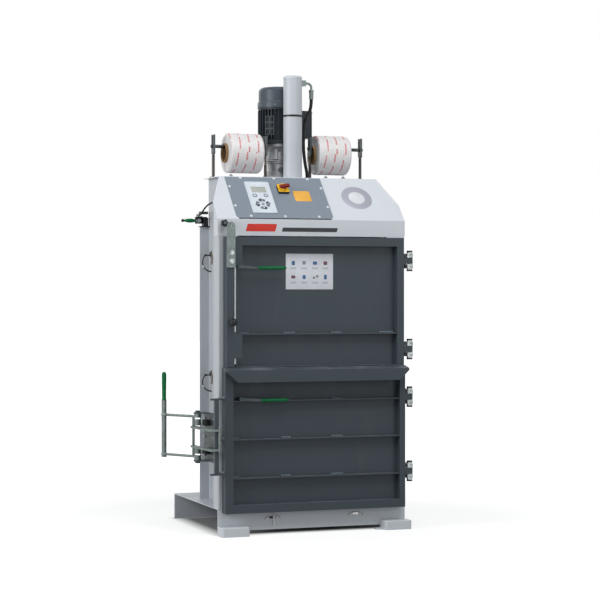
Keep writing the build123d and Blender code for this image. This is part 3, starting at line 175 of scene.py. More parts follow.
def facing(way, x, y, z, roll=0.0):
    """Matrix that stands a piece's own Z outwards from a face, at a place in millimetres."""
    return Matrix.Translation(spot(x, y, z)) @ TURNS[way] @ Matrix.Rotation(math.radians(roll), 4, "Z")


def on_slope(x, up, lift=0.0, roll=0.0):
    """Matrix that lays a piece on the hood's slope, in millimetres from mid-plane, fold and slope."""
    lean = Matrix.Rotation(LEAN, 4, "X")
    place = Vector((MID + x / 1000, FACE, FOLD)) + lean @ Vector((0, up / 1000, lift / 1000))
    return Matrix.Translation(place) @ lean @ Matrix.Rotation(math.radians(roll), 4, "Z")


def on_circle(middle, radius, degrees):
    """X and Y on a circle about an upright axis, in millimetres."""
    turn = math.radians(degrees)
    return middle[0] + radius * math.cos(turn), middle[1] + radius * math.sin(turn)


def outward(middle, radius, degrees, z):
    """Matrix that points a piece's own Z away from an upright axis."""
    return facing("up", *on_circle(middle, radius, degrees), z, degrees) @ SIDEWAYS


# Modelling steps, with lengths in millimetres

def begin():
    """Leaves edit mode and deselects everything."""
    if bpy.context.object and bpy.context.object.mode != "OBJECT":
        bpy.ops.object.mode_set(mode="OBJECT")
    bpy.ops.object.select_all(action="DESELECT")


def start_edit(kind):
    """Enters edit mode with nothing selected, to pick faces or edges."""
    if bpy.context.object.mode != "EDIT":
        bpy.ops.object.mode_set(mode="EDIT")
    bpy.ops.mesh.select_mode(type=kind)
    bpy.ops.mesh.select_all(action="DESELECT")
    return bmesh.from_edit_mesh(bpy.context.object.data)


def edit_faces(test):
    """Selects, in edit mode, the faces whose middle and normal pass a test."""
    mesh = start_edit("FACE")
    for face in mesh.faces:
        face.select_set(bool(test(face.calc_center_median(), face.normal)))
    bmesh.update_edit_mesh(bpy.context.object.data)


def edit_edges(test):
    """Selects, in edit mode, the edges whose middle and direction pass a test."""
    mesh = start_edit("EDGE")
    for edge in mesh.edges:
        first, second = (vert.co for vert in edge.verts)
        edge.select_set(bool(test((first + second) / 2, (second - first).normalized())))
    bmesh.update_edit_mesh(bpy.context.object.data)


def everywhere(middle, way):
    """Passes every face or edge."""
    return True


def looks_up(middle, normal):
    """Passes the faces that look along Z."""
    return normal.z > 0.9


def stands_up(middle, way):
    """Passes the edges that run along Z."""
    return abs(way.z) > 0.9


def bevel_edges(test, width, segments):
    """Bevels the edges that pass a test."""
    edit_edges(test)
    bpy.ops.mesh.bevel(offset=width / 1000, segments=segments, affect="EDGES")
    bpy.ops.object.mode_set(mode="OBJECT")


def push(distance):
    """Extrudes the selected faces along the object's Z."""
    bpy.ops.mesh.extrude_region_move(TRANSFORM_OT_translate={"value": (0, 0, distance / 1000)})


def sink_top(rim, depth):
    """Sinks a plate's top inside a rim."""
    edit_faces(looks_up)
    bpy.ops.mesh.inset(thickness=rim / 1000)
    push(-depth)
    bpy.ops.object.mode_set(mode="OBJECT")


def cut_off(point, normal):
    """Enters edit mode, cuts off what lies behind a plane, closes the cut and selects what is left."""
    bpy.ops.object.mode_set(mode="EDIT")
    bpy.ops.mesh.select_all(action="SELECT")
    point = [part / 1000 for part in point]
    bpy.ops.mesh.bisect(plane_co=point, plane_no=normal, use_fill=True, clear_inner=True)
    bpy.ops.mesh.select_all(action="SELECT")


def close_spin():
    """Merges a spun mesh's doubles and turns its faces outwards."""
    bpy.ops.mesh.select_all(action="SELECT")
    bpy.ops.mesh.remove_doubles(threshold=0.00002)
    bpy.ops.mesh.normals_make_consistent(inside=False)


def scaled(*size):
    """Gives the primitive just made its size in metres, and puts its place in its mesh."""
    bpy.context.object.scale = size
    bpy.ops.object.transform_apply(location=True, rotation=True, scale=True)
    return bpy.context.object


def block(size, middle):
    """A sharp block about a middle, ready to be shaped."""
    begin()
    bpy.ops.mesh.primitive_cube_add(size=1, location=[part / 1000 for part in middle])
    return scaled(*(part / 1000 for part in size))


def grid(columns, rows, width, height):
    """A flat grid about the origin, ready to be shaped."""
    begin()
    bpy.ops.mesh.primitive_grid_add(x_subdivisions=columns, y_subdivisions=rows, size=1)
    return scaled(width / 1000, height / 1000, 1)


def slab(width, depth, height, bevel):
    """A block that stands on its own origin, with the edges of its top and sides bevelled."""
    piece = block((width, depth, height), (0, 0, height / 2))
    bevel_edges(lambda middle, way: middle.z > height * 0.4 / 1000, bevel, 2)
    return piece


def rounded_plate(width, depth, height, corner, bevel=0.0):
    """A plate with rounded corners in plan that stands on its own origin, with a small bevel on top."""
    piece = block((width, depth, height), (0, 0, height / 2))
    bevel_edges(stands_up, corner, 5)
    if bevel:
        bevel_edges(lambda middle, way: middle.z > height * 0.99 / 1000, bevel, 2)
    return piece


def turned(outline, steps=48):
    """A turned form: a chain of (radius, height) spun about its own Z. Off the axis, it closes to a ring."""
    if outline[0][0] > 0:
        outline = [*outline, outline[0]]
    begin()
    bpy.ops.mesh.primitive_plane_add(size=0.01)
    piece = bpy.context.object
    mesh = bmesh.new()
    chain = [mesh.verts.new((radius / 1000, 0, height / 1000)) for radius, height in outline]
    for first, second in zip(chain, chain[1:]):
        mesh.edges.new((first, second))
    mesh.to_mesh(piece.data)
    mesh.free()
    bpy.ops.object.mode_set(mode="EDIT")
    bpy.ops.mesh.select_all(action="SELECT")
    bpy.ops.mesh.spin(steps=steps, angle=2 * math.pi, center=(0, 0, 0), axis=(0, 0, 1))
    close_spin()
    bpy.ops.object.mode_set(mode="OBJECT")
    return piece


def disc(vertices, radius, low, high):
    """An upright cylinder between two heights, ready to be shaped."""
    begin()
    middle = (0, 0, (low + high) / 2000)
    bpy.ops.mesh.primitive_cylinder_add(
        vertices=vertices, radius=radius / 1000, depth=(high - low) / 1000, location=middle
    )
    return bpy.context.object


def hex_bolt(across, height, washer=0.0):
    """A hexagon head with a chamfered top, on a washer if one is asked for."""
    low = 1.5 if washer else 0.0
    head = disc(6, across / 2 / math.cos(math.pi / 6), low, low + height)
    bevel_edges(lambda middle, way: middle.z > (low + height * 0.99) / 1000, height * 0.14, 1)
    if not washer:
        return head
    plate = disc(24, washer, 0.0, low)
    bevel_edges(lambda middle, way: middle.z > low * 0.9 / 1000, low * 0.4, 1)
    return joined([head, plate])


def cord_line(name, points, diameter, coat):
    """A smooth cord: a NURBS spline through the space of its control points, with a diameter in metres."""
    begin()
    data = bpy.data.curves.new(name, "CURVE")
    data.dimensions = "3D"
    spline = data.splines.new("NURBS")
    spline.points.add(len(points) - 1)
    for point, place in zip(spline.points, points):
        point.co = (*spot(*place), 1)
    spline.order_u = 3
    spline.use_endpoint_u = True
    spline.resolution_u = 14
    data.bevel_depth = diameter / 2
    data.bevel_resolution = 6
    data.use_fill_caps = True
    cord = bpy.data.objects.new(name, data)
    bpy.context.scene.collection.objects.link(cord)
    data.materials.append(finish(coat))
    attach(cord, "frame")
    return cord


# Finished pieces

def joined(parts):
    """Joins several meshes, with their places in their meshes first, as one object."""
    begin()
    for part in parts:
        part.select_set(True)
    bpy.context.view_layer.objects.active = parts[0]
    bpy.ops.object.transform_apply(location=True, rotation=True, scale=True)
    if len(parts) > 1:
        bpy.ops.object.join()
    return bpy.context.object


def settle(piece, name, coat, place=None, body="frame", angle=32):
    """Finishes a mesh: its name, its place in its mesh, smooth faces, its finish and its body."""
    begin()
    piece.select_set(True)
    bpy.context.view_layer.objects.active = piece
    if place is not None:
        piece.matrix_world = place
    bpy.ops.object.transform_apply(location=True, rotation=True, scale=True)
    bpy.ops.object.shade_smooth_by_angle(angle=math.radians(angle))
    piece.name = piece.data.name = name
    piece.data.materials.clear()
    piece.data.materials.append(finish(coat))
    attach(piece, body)
    return piece


def spread(pattern, name, coat, places, body="frame"):
    """Copies a modelled pattern to each place, with a mesh of its own, and joins the copies as one piece."""
    copies = []
    for place in places:
        copied = pattern.copy()
        copied.data = pattern.data.copy()
        bpy.context.scene.collection.objects.link(copied)
        copied.matrix_world = place
        copies.append(copied)
    begin()
    bpy.data.objects.remove(pattern)
    return settle(joined(copies), name, coat, None, body)


# Steps of a material

def feed(socket, value):
    """Gives an input its value, or a link from an output, or from a node's first output in use."""
    if isinstance(value, bpy.types.Node):
        value = next(output for output in value.outputs if output.enabled)
    if isinstance(value, bpy.types.NodeSocket):
        socket.id_data.links.new(value, socket)
    else:
        socket.default_value = value


def add_node(tree, kind, inputs=(), **settings):
    """Adds a shader node with its settings, and feeds its inputs by name, or those in use by their order."""
    made = tree.nodes.new("ShaderNode" + kind)
    for key, value in settings.items():
        setattr(made, key, value)
    if isinstance(inputs, dict):
        for key, value in inputs.items():
            feed(made.inputs[key], value)
    else:
        for socket, value in zip([socket for socket in made.inputs if socket.enabled], inputs):
            feed(socket, value)
    return made


def rgba(colour, gain=1.0):
    """A linear colour, or the linear colour of a hex value, with its alpha, lighter or darker by a gain."""
    if isinstance(colour, str):
        colour = linear(colour)
    return tuple(min(1.0, part * gain) for part in colour) + (1.0,)


def new_finish(name):
    """An empty material. Returns it, a function that adds nodes to it, its shader and Object coordinates."""
    material = bpy.data.materials.new(name)
    material.use_nodes = True
    material.node_tree.nodes.clear()
    add = functools.partial(add_node, material.node_tree)
    shader = add("BsdfPrincipled")
    add("OutputMaterial", {"Surface": shader})
    return material, add, shader, add("TexCoord").outputs["Object"]


def coated(add, shader, base, roughness, relief=None, depth_mm=0.0, strength=0.5, metal=0.0, gloss=0.5):
    """Gives a shader its colour, roughness, metal and gloss, and a relief of a depth in millimetres."""
    if relief is not None:
        bump = add("Bump", {"Height": relief, "Distance": depth_mm / 1000, "Strength": strength})
        feed(shader.inputs["Normal"], bump)
    feed(shader.inputs["Base Color"], base)
    feed(shader.inputs["Roughness"], roughness)
    feed(shader.inputs["Metallic"], metal)
    feed(shader.inputs["Specular IOR Level"], gloss)


def layered(add, base, *layers):
    """Lays colours over a base, each by its own share."""
    for share, colour in layers:
        base = add("Mix", (share, base, colour), data_type="RGBA")
    return base


def cloud(add, place, size_mm, detail=3.0, stretch=(1, 1, 1)):
    """Blotches of about a size in millimetres, from 0 to 1."""
    mapped = add("Mapping", {"Vector": place, "Scale": stretch})
    return add("TexNoise", {"Vector": mapped, "Scale": 1000 / size_mm, "Detail": detail})


def edge_wear(add, radius_mm, share):
    """A mask along outer and inner corners, from the angle between the bevelled and the true normal."""
    rounded = add("Bevel", {"Radius": radius_mm / 1000}, samples=4)
    true = add("NewGeometry").outputs["Normal"]
    corner = add("MapRange", (add("VectorMath", (rounded, true), operation="DOT_PRODUCT"), 0.99, 0.90))
    return add("Math", (corner, share), operation="MULTIPLY")


def repeat(add, value, pitch):
    """How far a value is through a step that repeats at a pitch, from 0 to 1."""
    return add("Math", (add("Math", (value, pitch), operation="DIVIDE"),), operation="FRACT")


def round_axis(add, place, middle):
    """Coordinates of a roll: metres along its axis, the angle round it, and metres away from it."""
    centred = add("Mapping", {"Vector": place, "Location": tuple(-part for part in middle)})
    axes = add("SeparateXYZ", (centred,)).outputs
    turn = add("Math", (axes["Z"], axes["Y"]), operation="ARCTAN2")
    squares = [add("Math", (axes[way], axes[way]), operation="MULTIPLY") for way in "YZ"]
    reach = add("Math", (add("Math", squares, operation="ADD"),), operation="SQRT")
    return axes["X"], turn, reach


# Finishes of several pieces

def powder_coat(name, colour, roughness, grime, edge_wear_and_highlight_gain=1.25, peel_mm=5.0, gloss=0.45):
    """Polyester powder coat baked on folded sheet steel: an even colour, a fine orange peel that breaks up
    reflections, a little dust where it faces up, and paler edges, partly rubbed wear and partly a painted
    highlight."""
    material, add, shader, place = new_finish(name)
    streak = cloud(add, place, 90, 4.0, (1, 1, 0.22))
    shade = add("MapRange", (cloud(add, place, 420, 2.0), 0.3, 0.7, 0.0, 0.55))
    grimy = add("MapRange", (streak, 0.55, 0.75, 0.0, grime))
    upward = add("SeparateXYZ", (add("NewGeometry").outputs["Normal"],)).outputs["Z"]
    upward = add("MapRange", (upward, 0.75, 1.0))
    dust = add("Math", (upward, add("MapRange", (streak, 0.35, 0.7, 0.05, 0.30))), operation="MULTIPLY")
    # Paler edges in the paint's own colour, raised by the edge gain: partly rubbed wear, partly a painted
    # highlight along folds and rib edges.
    worn = edge_wear(add, 2.2, add("MapRange", (cloud(add, place, 16, 4.0), 0.4, 0.62, 0.15, 0.85)))
    base = layered(
        add, rgba(colour),
        (shade, rgba(colour, 1 - 0.5 * grime)),
        (grimy, rgba("#65635f")),
        (dust, rgba("#999ea4")),
        (worn, rgba(colour, edge_wear_and_highlight_gain)),
    )
    rough = add("MapRange", (streak, 0.3, 0.7, roughness - 0.05, roughness + 0.09))
    coated(add, shader, base, rough, cloud(add, place, peel_mm, 1.0), 0.10, 0.55, gloss=gloss)
    return material


def zinc_coat(name, colour):
    """Hot-dip galvanised steel: dull grey crystals of zinc, each a little lighter or darker, brightened where
    parts rub and darkened in patches."""
    material, add, shader, place = new_finish(name)
    crystal = add("TexVoronoi", {"Vector": place, "Scale": 1000 / 7.0})
    grain = add("SeparateColor", (crystal.outputs["Color"],)).outputs
    stain = add("MapRange", (cloud(add, place, 38, 4.0), 0.45, 0.75, 0.0, 0.55))
    bright = edge_wear(add, 2.0, add("MapRange", (cloud(add, place, 12, 3.0), 0.35, 0.6, 0.2, 1.0)))
    base = layered(
        add, rgba(colour, 0.82),
        (grain["Red"], rgba(colour, 1.18)),
        (stain, rgba("#595d59")),
        (bright, rgba(colour, 1.7)),
    )
    rough = add("MapRange", (grain["Green"], 0, 1, 0.38, 0.56))
    coated(add, shader, base, rough, cloud(add, place, 4.0, 3.0), 0.12, metal=0.75)
    return material


def ground_steel(name, colour, stretch=(1, 1, 1), roughness=0.28):
    """Bright ground or plated steel: fine grinding lines in one direction and a few darker oil stains."""
    material, add, shader, place = new_finish(name)
    lines = cloud(add, place, 1.6, 2.0, stretch)
    stain = add("MapRange", (cloud(add, place, 30, 3.0), 0.5, 0.8, 0.0, 0.4))
    base = layered(add, rgba(colour, 0.85), (lines, rgba(colour, 1.08)), (stain, rgba("#6f6c69")))
    rough = add("MapRange", (lines, 0.2, 0.8, roughness - 0.06, roughness + 0.12))
    coated(add, shader, base, rough, lines, 0.03, metal=1.0)
    return material


def cast_alloy(name, colour):
    """Sand cast aluminium: a grainy pale grey skin with darker pits and a dull sheen."""
    material, add, shader, place = new_finish(name)
    grain = cloud(add, place, 3.0, 4.0)
    patch = add("MapRange", (cloud(add, place, 45, 3.0), 0.3, 0.7))
    pit = add("MapRange", (grain, 0.6, 0.8, 0.0, 0.4))
    base = layered(add, rgba(colour, 0.72), (patch, rgba(colour, 1.05)), (pit, rgba("#595959")))
    rough = add("MapRange", (grain, 0.2, 0.8, 0.40, 0.62))
    coated(add, shader, base, rough, grain, 0.35, 0.7, metal=0.85)
    return material


def passivated(name, colour, tint):
    """Zinc plate with a yellow chromate film: brassy, with greenish patches and pale bare corners."""
    material, add, shader, place = new_finish(name)
    film = cloud(add, place, 14, 3.0)
    patch = add("MapRange", (film, 0.35, 0.65))
    base = layered(add, rgba(colour), (patch, rgba(tint)), (edge_wear(add, 1.2, 0.7), rgba("#cbc8bf")))
    rough = add("MapRange", (film, 0.3, 0.7, 0.30, 0.46))
    coated(add, shader, base, rough, cloud(add, place, 2.5, 2.0), 0.05, 0.4, metal=0.9)
    return material


def moulded(name, colour, roughness=0.42, grain_mm=1.6, relief=0.06, gloss=0.5):
    """Injection moulded or dipped plastic: one colour all through, a fine grain, and scuffs that dull it."""
    material, add, shader, place = new_finish(name)
    tone = add("MapRange", (cloud(add, place, 24, 3.0), 0.35, 0.7))
    worn = edge_wear(add, 1.4, add("MapRange", (cloud(add, place, 6, 3.0), 0.4, 0.7, 0.0, 0.5)))
    paler = rgba([part * 1.5 + 0.03 for part in colour])
    base = layered(add, rgba(colour, 0.86), (tone, rgba(colour, 1.12)), (worn, paler))
    rough = add("MapRange", (cloud(add, place, 5, 4.0), 0.35, 0.75, roughness - 0.07, roughness + 0.14))
    coated(add, shader, base, rough, cloud(add, place, grain_mm, 1.0), relief, gloss=gloss)
    return material


def hose_rubber(name):
    """Black nitrile rubber cover, cured in cloth: a tight diagonal wrap pattern and a dusty bloom."""
    material, add, shader, place = new_finish(name)
    pattern = {"Vector": place, "Scale": 55.0, "Distortion": 1.2, "Detail": 1.0}
    wrap = add("TexWave", pattern, bands_direction="DIAGONAL").outputs["Fac"]
    bloom = add("MapRange", (cloud(add, place, 26, 4.0), 0.4, 0.7, 0.0, 0.5))
    base = layered(add, rgba("#141416"), (bloom, rgba("#292a2d")))
    coated(add, shader, base, add("MapRange", (wrap, 0, 1, 0.46, 0.64)), wrap, 0.20, gloss=0.20)
    return material


def printed_film(name, colour, roughness=0.35, sparkle=0.0):
    """Screen printed polyester film: a flat colour with a faint dot texture under a smooth clear face."""
    material, add, shader, place = new_finish(name)
    dots = cloud(add, place, 1.2, 1.0)
    tone = add("MapRange", (cloud(add, place, 60, 2.0), 0.3, 0.7))
    dotted = add("MapRange", (dots, 0.45, 0.6, 0.0, 0.12))
    base = layered(add, rgba(colour), (tone, rgba(colour, 0.93)), (dotted, rgba(colour, 0.8)))
    rough = add("MapRange", (dots, 0.3, 0.7, roughness - 0.03, roughness + 0.06))
    coated(add, shader, base, rough, dots, 0.02, 0.4, metal=sparkle, gloss=0.30)
    return material


# Finishes of single pieces

def woven_strapping(name, colour, dash, middle, half):
    """Woven polyester cord strapping wound on a core: glossy white bands laid side by side with a slight
    cross-wind, each with a dashed red line. The band is drawn 16 mm wide and its cords 2 mm apart, and the
    printed line comes once in 58 mm, so that they show."""
    band_pitch, cord_pitch, print_pitch = 0.016, 0.002, 0.058
    material, add, shader, place = new_finish(name)
    x, turn, reach = round_axis(add, place, middle)
    along = add("Math", (turn, 0.0055, x), operation="MULTIPLY_ADD")
    on_face = add("MapRange", (add("Math", (x,), operation="ABSOLUTE"), half - 0.0035, half - 0.0010))
    across = add("Mix", (on_face, along, reach))
    band = repeat(add, across, band_pitch)
    edges = add("MapRange", (band, 0.0, 0.09, 1.0, 0.0)), add("MapRange", (band, 0.91, 1.0, 0.0, 1.0))
    seam = add("Math", edges, operation="ADD")
    rib = add("Math", (repeat(add, across, cord_pitch), 0.5), operation="PINGPONG")
    soft = add("MapRange", (cloud(add, place, 11, 3.0), 0.3, 0.7))
    # Painted shade: the seams between bands are darkened grey, and more so on the cut ends.
    seam_painted_shade = add("Math", (seam, add("MapRange", (on_face, 0.0, 1.0, 0.34, 0.60))), operation="MULTIPLY")

    line = repeat(add, add("Math", (turn, 0.002, along), operation="MULTIPLY_ADD"), print_pitch)
    off_line = add("Math", (add("Math", (line, 0.5), operation="SUBTRACT"),), operation="ABSOLUTE")
    wind = add("Math", (add("Math", (along, print_pitch), operation="DIVIDE"),), operation="FLOOR")
    lap = add("Math", (wind, 0.37), operation="MULTIPLY")
    step = add("Math", (add("Math", (turn, 1.05, lap), operation="MULTIPLY_ADD"),), operation="FRACT")
    small = add("Math", (add("Math", (turn, 13.0), operation="MULTIPLY"),), operation="FRACT")
    red = add("MapRange", (cloud(add, place, 14, 3.0), 0.32, 0.50, 0.50, 1.0))
    for value, limit in ((off_line, 0.085), (step, 0.76), (small, 0.72)):
        inside = add("Math", (value, limit), operation="LESS_THAN")
        red = add("Math", (red, inside), operation="MULTIPLY")
    red = add("Math", (red, add("Math", (1.0, on_face), operation="SUBTRACT")), operation="MULTIPLY")

    base = layered(
        add, rgba(colour), (soft, rgba(colour, 0.86)), (seam_painted_shade, rgba("#9b999b")), (red, rgba(dash))
    )
    height = add("Math", (add("Math", (rib, 0.5), operation="MULTIPLY"), seam), operation="SUBTRACT")
    coated(add, shader, base, add("MapRange", (rib, 0, 0.5, 0.36, 0.52)), height, 0.5, 0.6)
    shader.inputs["Sheen Weight"].default_value = 0.15
    return material


def card_tube(name, colour, middle):
    """Spiral wound card tube: warm brown board, dark spiral joints, and thin rings on the cut end."""
    material, add, shader, place = new_finish(name)
    x, turn, reach = round_axis(add, place, middle)
    wind = add("Math", (x, 0.08), operation="DIVIDE"), add("Math", (turn, 2 * math.pi), operation="DIVIDE")
    spiral = add("Math", (add("Math", wind, operation="ADD"),), operation="FRACT")
    joint = add("Math", (spiral, 0.025), operation="LESS_THAN")
    rings = add("Math", (add("Math", (reach, 0.0018), operation="DIVIDE"), 0.5), operation="PINGPONG")
    fibre = cloud(add, place, 4, 4.0, (0.3, 1, 1))
    base = layered(
        add, rgba(colour, 0.78),
        (fibre, rgba(colour, 1.1)),
        (add("Math", (rings, 0.5), operation="MULTIPLY"), rgba(colour, 0.5)),
        (add("Math", (joint, 0.5), operation="MULTIPLY"), rgba(colour, 0.45)),
    )
    coated(add, shader, base, add("MapRange", (fibre, 0.2, 0.8, 0.72, 0.88)), fibre, 0.15)
    return material


def zoned(name, axis, limit, low, high, metal, roughness):
    """A finish that changes at a plane, a limit in metres along an axis: colour and bare metal above it, and
    blotches, a little relief and worn corners all over."""
    material, add, shader, place = new_finish(name)
    above = add("Math", (add("SeparateXYZ", (place,)).outputs[axis], limit), operation="GREATER_THAN")
    tone = cloud(add, place, 12, 4.0)
    colour = layered(add, rgba(low), (above, rgba(high)))
    shade = layered(add, rgba(low, 0.72), (above, rgba(high, 0.80)))
    blotch = add("MapRange", (tone, 0.35, 0.7))
    base = layered(add, colour, (blotch, shade), (edge_wear(add, 1.2, 0.55), rgba("#adadac")))
    rough = add("MapRange", (tone, 0.3, 0.7, roughness - 0.06, roughness + 0.10))
    bare = add("Math", (above, metal), operation="MULTIPLY")
    coated(add, shader, base, rough, tone, 0.10, metal=bare)
    return material


def slide_paint():
    """The slide bar: anthracite paint, with a pale metallic strip along its free edge that is a painted
    highlight.
    """
    return zoned("slide_bar_paint", "X", -0.4150, "#3a4148", "#c9cdcf", 0.3, 0.40)


def guide_coat():
    """The strap guide: a rod in black enamel on a bracket with a brownish zinc plate."""
    return zoned("strap_guide_coat", "X", -0.3815, "#1b1c1e", "#8d8272", 0.5, 0.38)


def stand_steel():
    """The roll stand: posts in drawn steel with a brown mill film, under forks in dull zinc."""
    return zoned("roll_stand_steel", "Z", 2.254, "#5c524a", "#434a4c", 0.4, 0.38)


def display_glass():
    """Reflective display glass: a pale grey-green field with faint rows of dark cells under a glossy face."""
    material, add, shader, place = new_finish("display_glass")
    axes = add("SeparateXYZ", (place,)).outputs
    share = add("MapRange", (cloud(add, place, 6, 2.0), 0.45, 0.6, 0.0, 0.35))
    for value, pitch, width in ((axes["X"], 0.0048, 0.6), (axes["Z"], 0.0085, 0.5)):
        dark = add("Math", (repeat(add, value, pitch), width), operation="LESS_THAN")
        share = add("Math", (share, dark), operation="MULTIPLY")
    coated(add, shader, layered(add, rgba("#a9ada6"), (share, rgba("#5a615c"))), 0.12)
    return material


def oil_glass():
    """Sight glass over honey coloured oil, darker below the fill line, which is 1.963 m above the floor."""
    material, add, shader, place = new_finish("oil_sight_glass")
    full = add("Math", (add("SeparateXYZ", (place,)).outputs["Z"], 1.963), operation="LESS_THAN")
    coated(add, shader, layered(add, rgba("#c9b98a"), (full, rgba("#8a6420"))), 0.08)
    return material


def make_finishes():
    """Makes each shared finish of the baler once and returns them by name."""
    tint = finishes()
    dark_slate = [part * 0.45 for part in tint.motor_paint]
    # The weld beads take the door paint lightened 2.1 times: a painted highlight where the beads catch the
    # light.
    weld_highlight_grey = [part * 2.1 for part in tint.door_paint]
    return {
        "hood_paint": powder_coat("powder_coat_pale_grey", tint.hood_paint, 0.36, 0.05, 1.12),
        "frame_paint": powder_coat("powder_coat_light_grey", tint.frame_paint, 0.42, 0.10, 1.15),
        "door_paint": powder_coat("powder_coat_anthracite", tint.door_paint, 0.40, 0.12, 2.2, 5.0, 0.25),
        "panel_paint": powder_coat("enamel_blue_grey", tint.panel_paint, 0.34, 0.05, 1.4, 3.0),
        "motor_paint": powder_coat("motor_enamel_slate", tint.motor_paint, 0.40, 0.14, 1.7, 3.0, 0.30),
        "motor_dark": powder_coat("motor_enamel_dark", dark_slate, 0.46, 0.14, 1.25, 3.0, 0.22),
        "black_steel": powder_coat("black_enamel", linear("#1d1e21"), 0.38, 0.06, 2.4, 3.0, 0.30),
        "weld": powder_coat("painted_weld_bead", weld_highlight_grey, 0.34, 0.05, 1.5, 4.0),
        "zinc": zinc_coat("zinc_coat", tint.zinc),
        "dark_zinc": zinc_coat("weathered_zinc_coat", linear("#3b4345")),
        "bright_zinc": zinc_coat("bright_zinc_plate", linear("#b4baba")),
        "steel": ground_steel("ground_steel", tint.steel),
        "spindle_steel": ground_steel("blackened_steel", linear("#3b3d40"), (0.05, 1, 1), 0.36),
        "alloy": cast_alloy("cast_aluminium", linear("#b4b6b9")),
        "brass": passivated("yellow_zinc_plate", linear("#8f7a5c"), linear("#6f6a58")),
        "green": moulded("dipped_vinyl_green", tint.green, 0.40, 2.2, 0.05, 0.18),
        "black": moulded("moulded_nylon_black", tint.black, 0.34, 1.6, 0.04, 0.22),
        "red": moulded("moulded_abs_red", tint.red, 0.30, 1.2, 0.02, 0.25),
        "yellow": moulded("moulded_abs_yellow", tint.yellow, 0.36, 1.2, 0.03, 0.30),
        "sleeve": moulded("post_sleeve_brown_black", linear("#3b332e"), 0.45, 1.0, 0.03),
        "key_dark": moulded("keypad_keys_grey", linear("#5f6872"), 0.42, 1.0, 0.03),
        "key_mid": moulded("keypad_middle_key_grey", linear("#8d959e"), 0.42, 1.0, 0.03),
        "strap_cloth": moulded("strap_cloth_white", linear("#e9e9ea"), 0.55, 1.0, 0.10, 0.25),
        "hose": hose_rubber("hose_rubber_black"),
        "key_film": printed_film("keypad_film_pale", linear("#d2dae2"), 0.40),
        "amber": printed_film("amber_film", tint.amber, 0.34),
        "silver": printed_film("silver_film", linear("#a3a5b0"), 0.40, 0.20),
        "white_film": printed_film("white_film", linear("#d9dbe0"), 0.32),
        "red_film": printed_film("red_film", linear("#d33020"), 0.32),
        "dark_film": printed_film("charcoal_film", linear("#23272b"), 0.32),
        "paper": printed_film("laminated_paper", linear("#dcdfe6"), 0.30),
        "ink_blue": printed_film("ink_blue", linear("#3f6796"), 0.32),
        "ink_plum": printed_film("ink_plum", linear("#6b4a55"), 0.32),
        "ink_grey": printed_film("ink_grey", linear("#8b9099"), 0.32),
    }


FINISHES = {}


def finish(coat):
    """A shared finish by its name; a piece's own material is handed back as it is."""
    if not isinstance(coat, str):
        return coat
    if not FINISHES:
        FINISHES.update(make_finishes())
    return FINISHES[coat]


def dress(coat, *nodes):
    """Gives carried-over frame nodes a finish."""
    for node in nodes:
        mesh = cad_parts[node].data
        mesh.materials.clear()
        mesh.materials.append(finish(coat))


class BalerOperator(bpy.types.Operator):
    """Base of the baler's operators."""

    bl_options = {"REGISTER", "UNDO"}


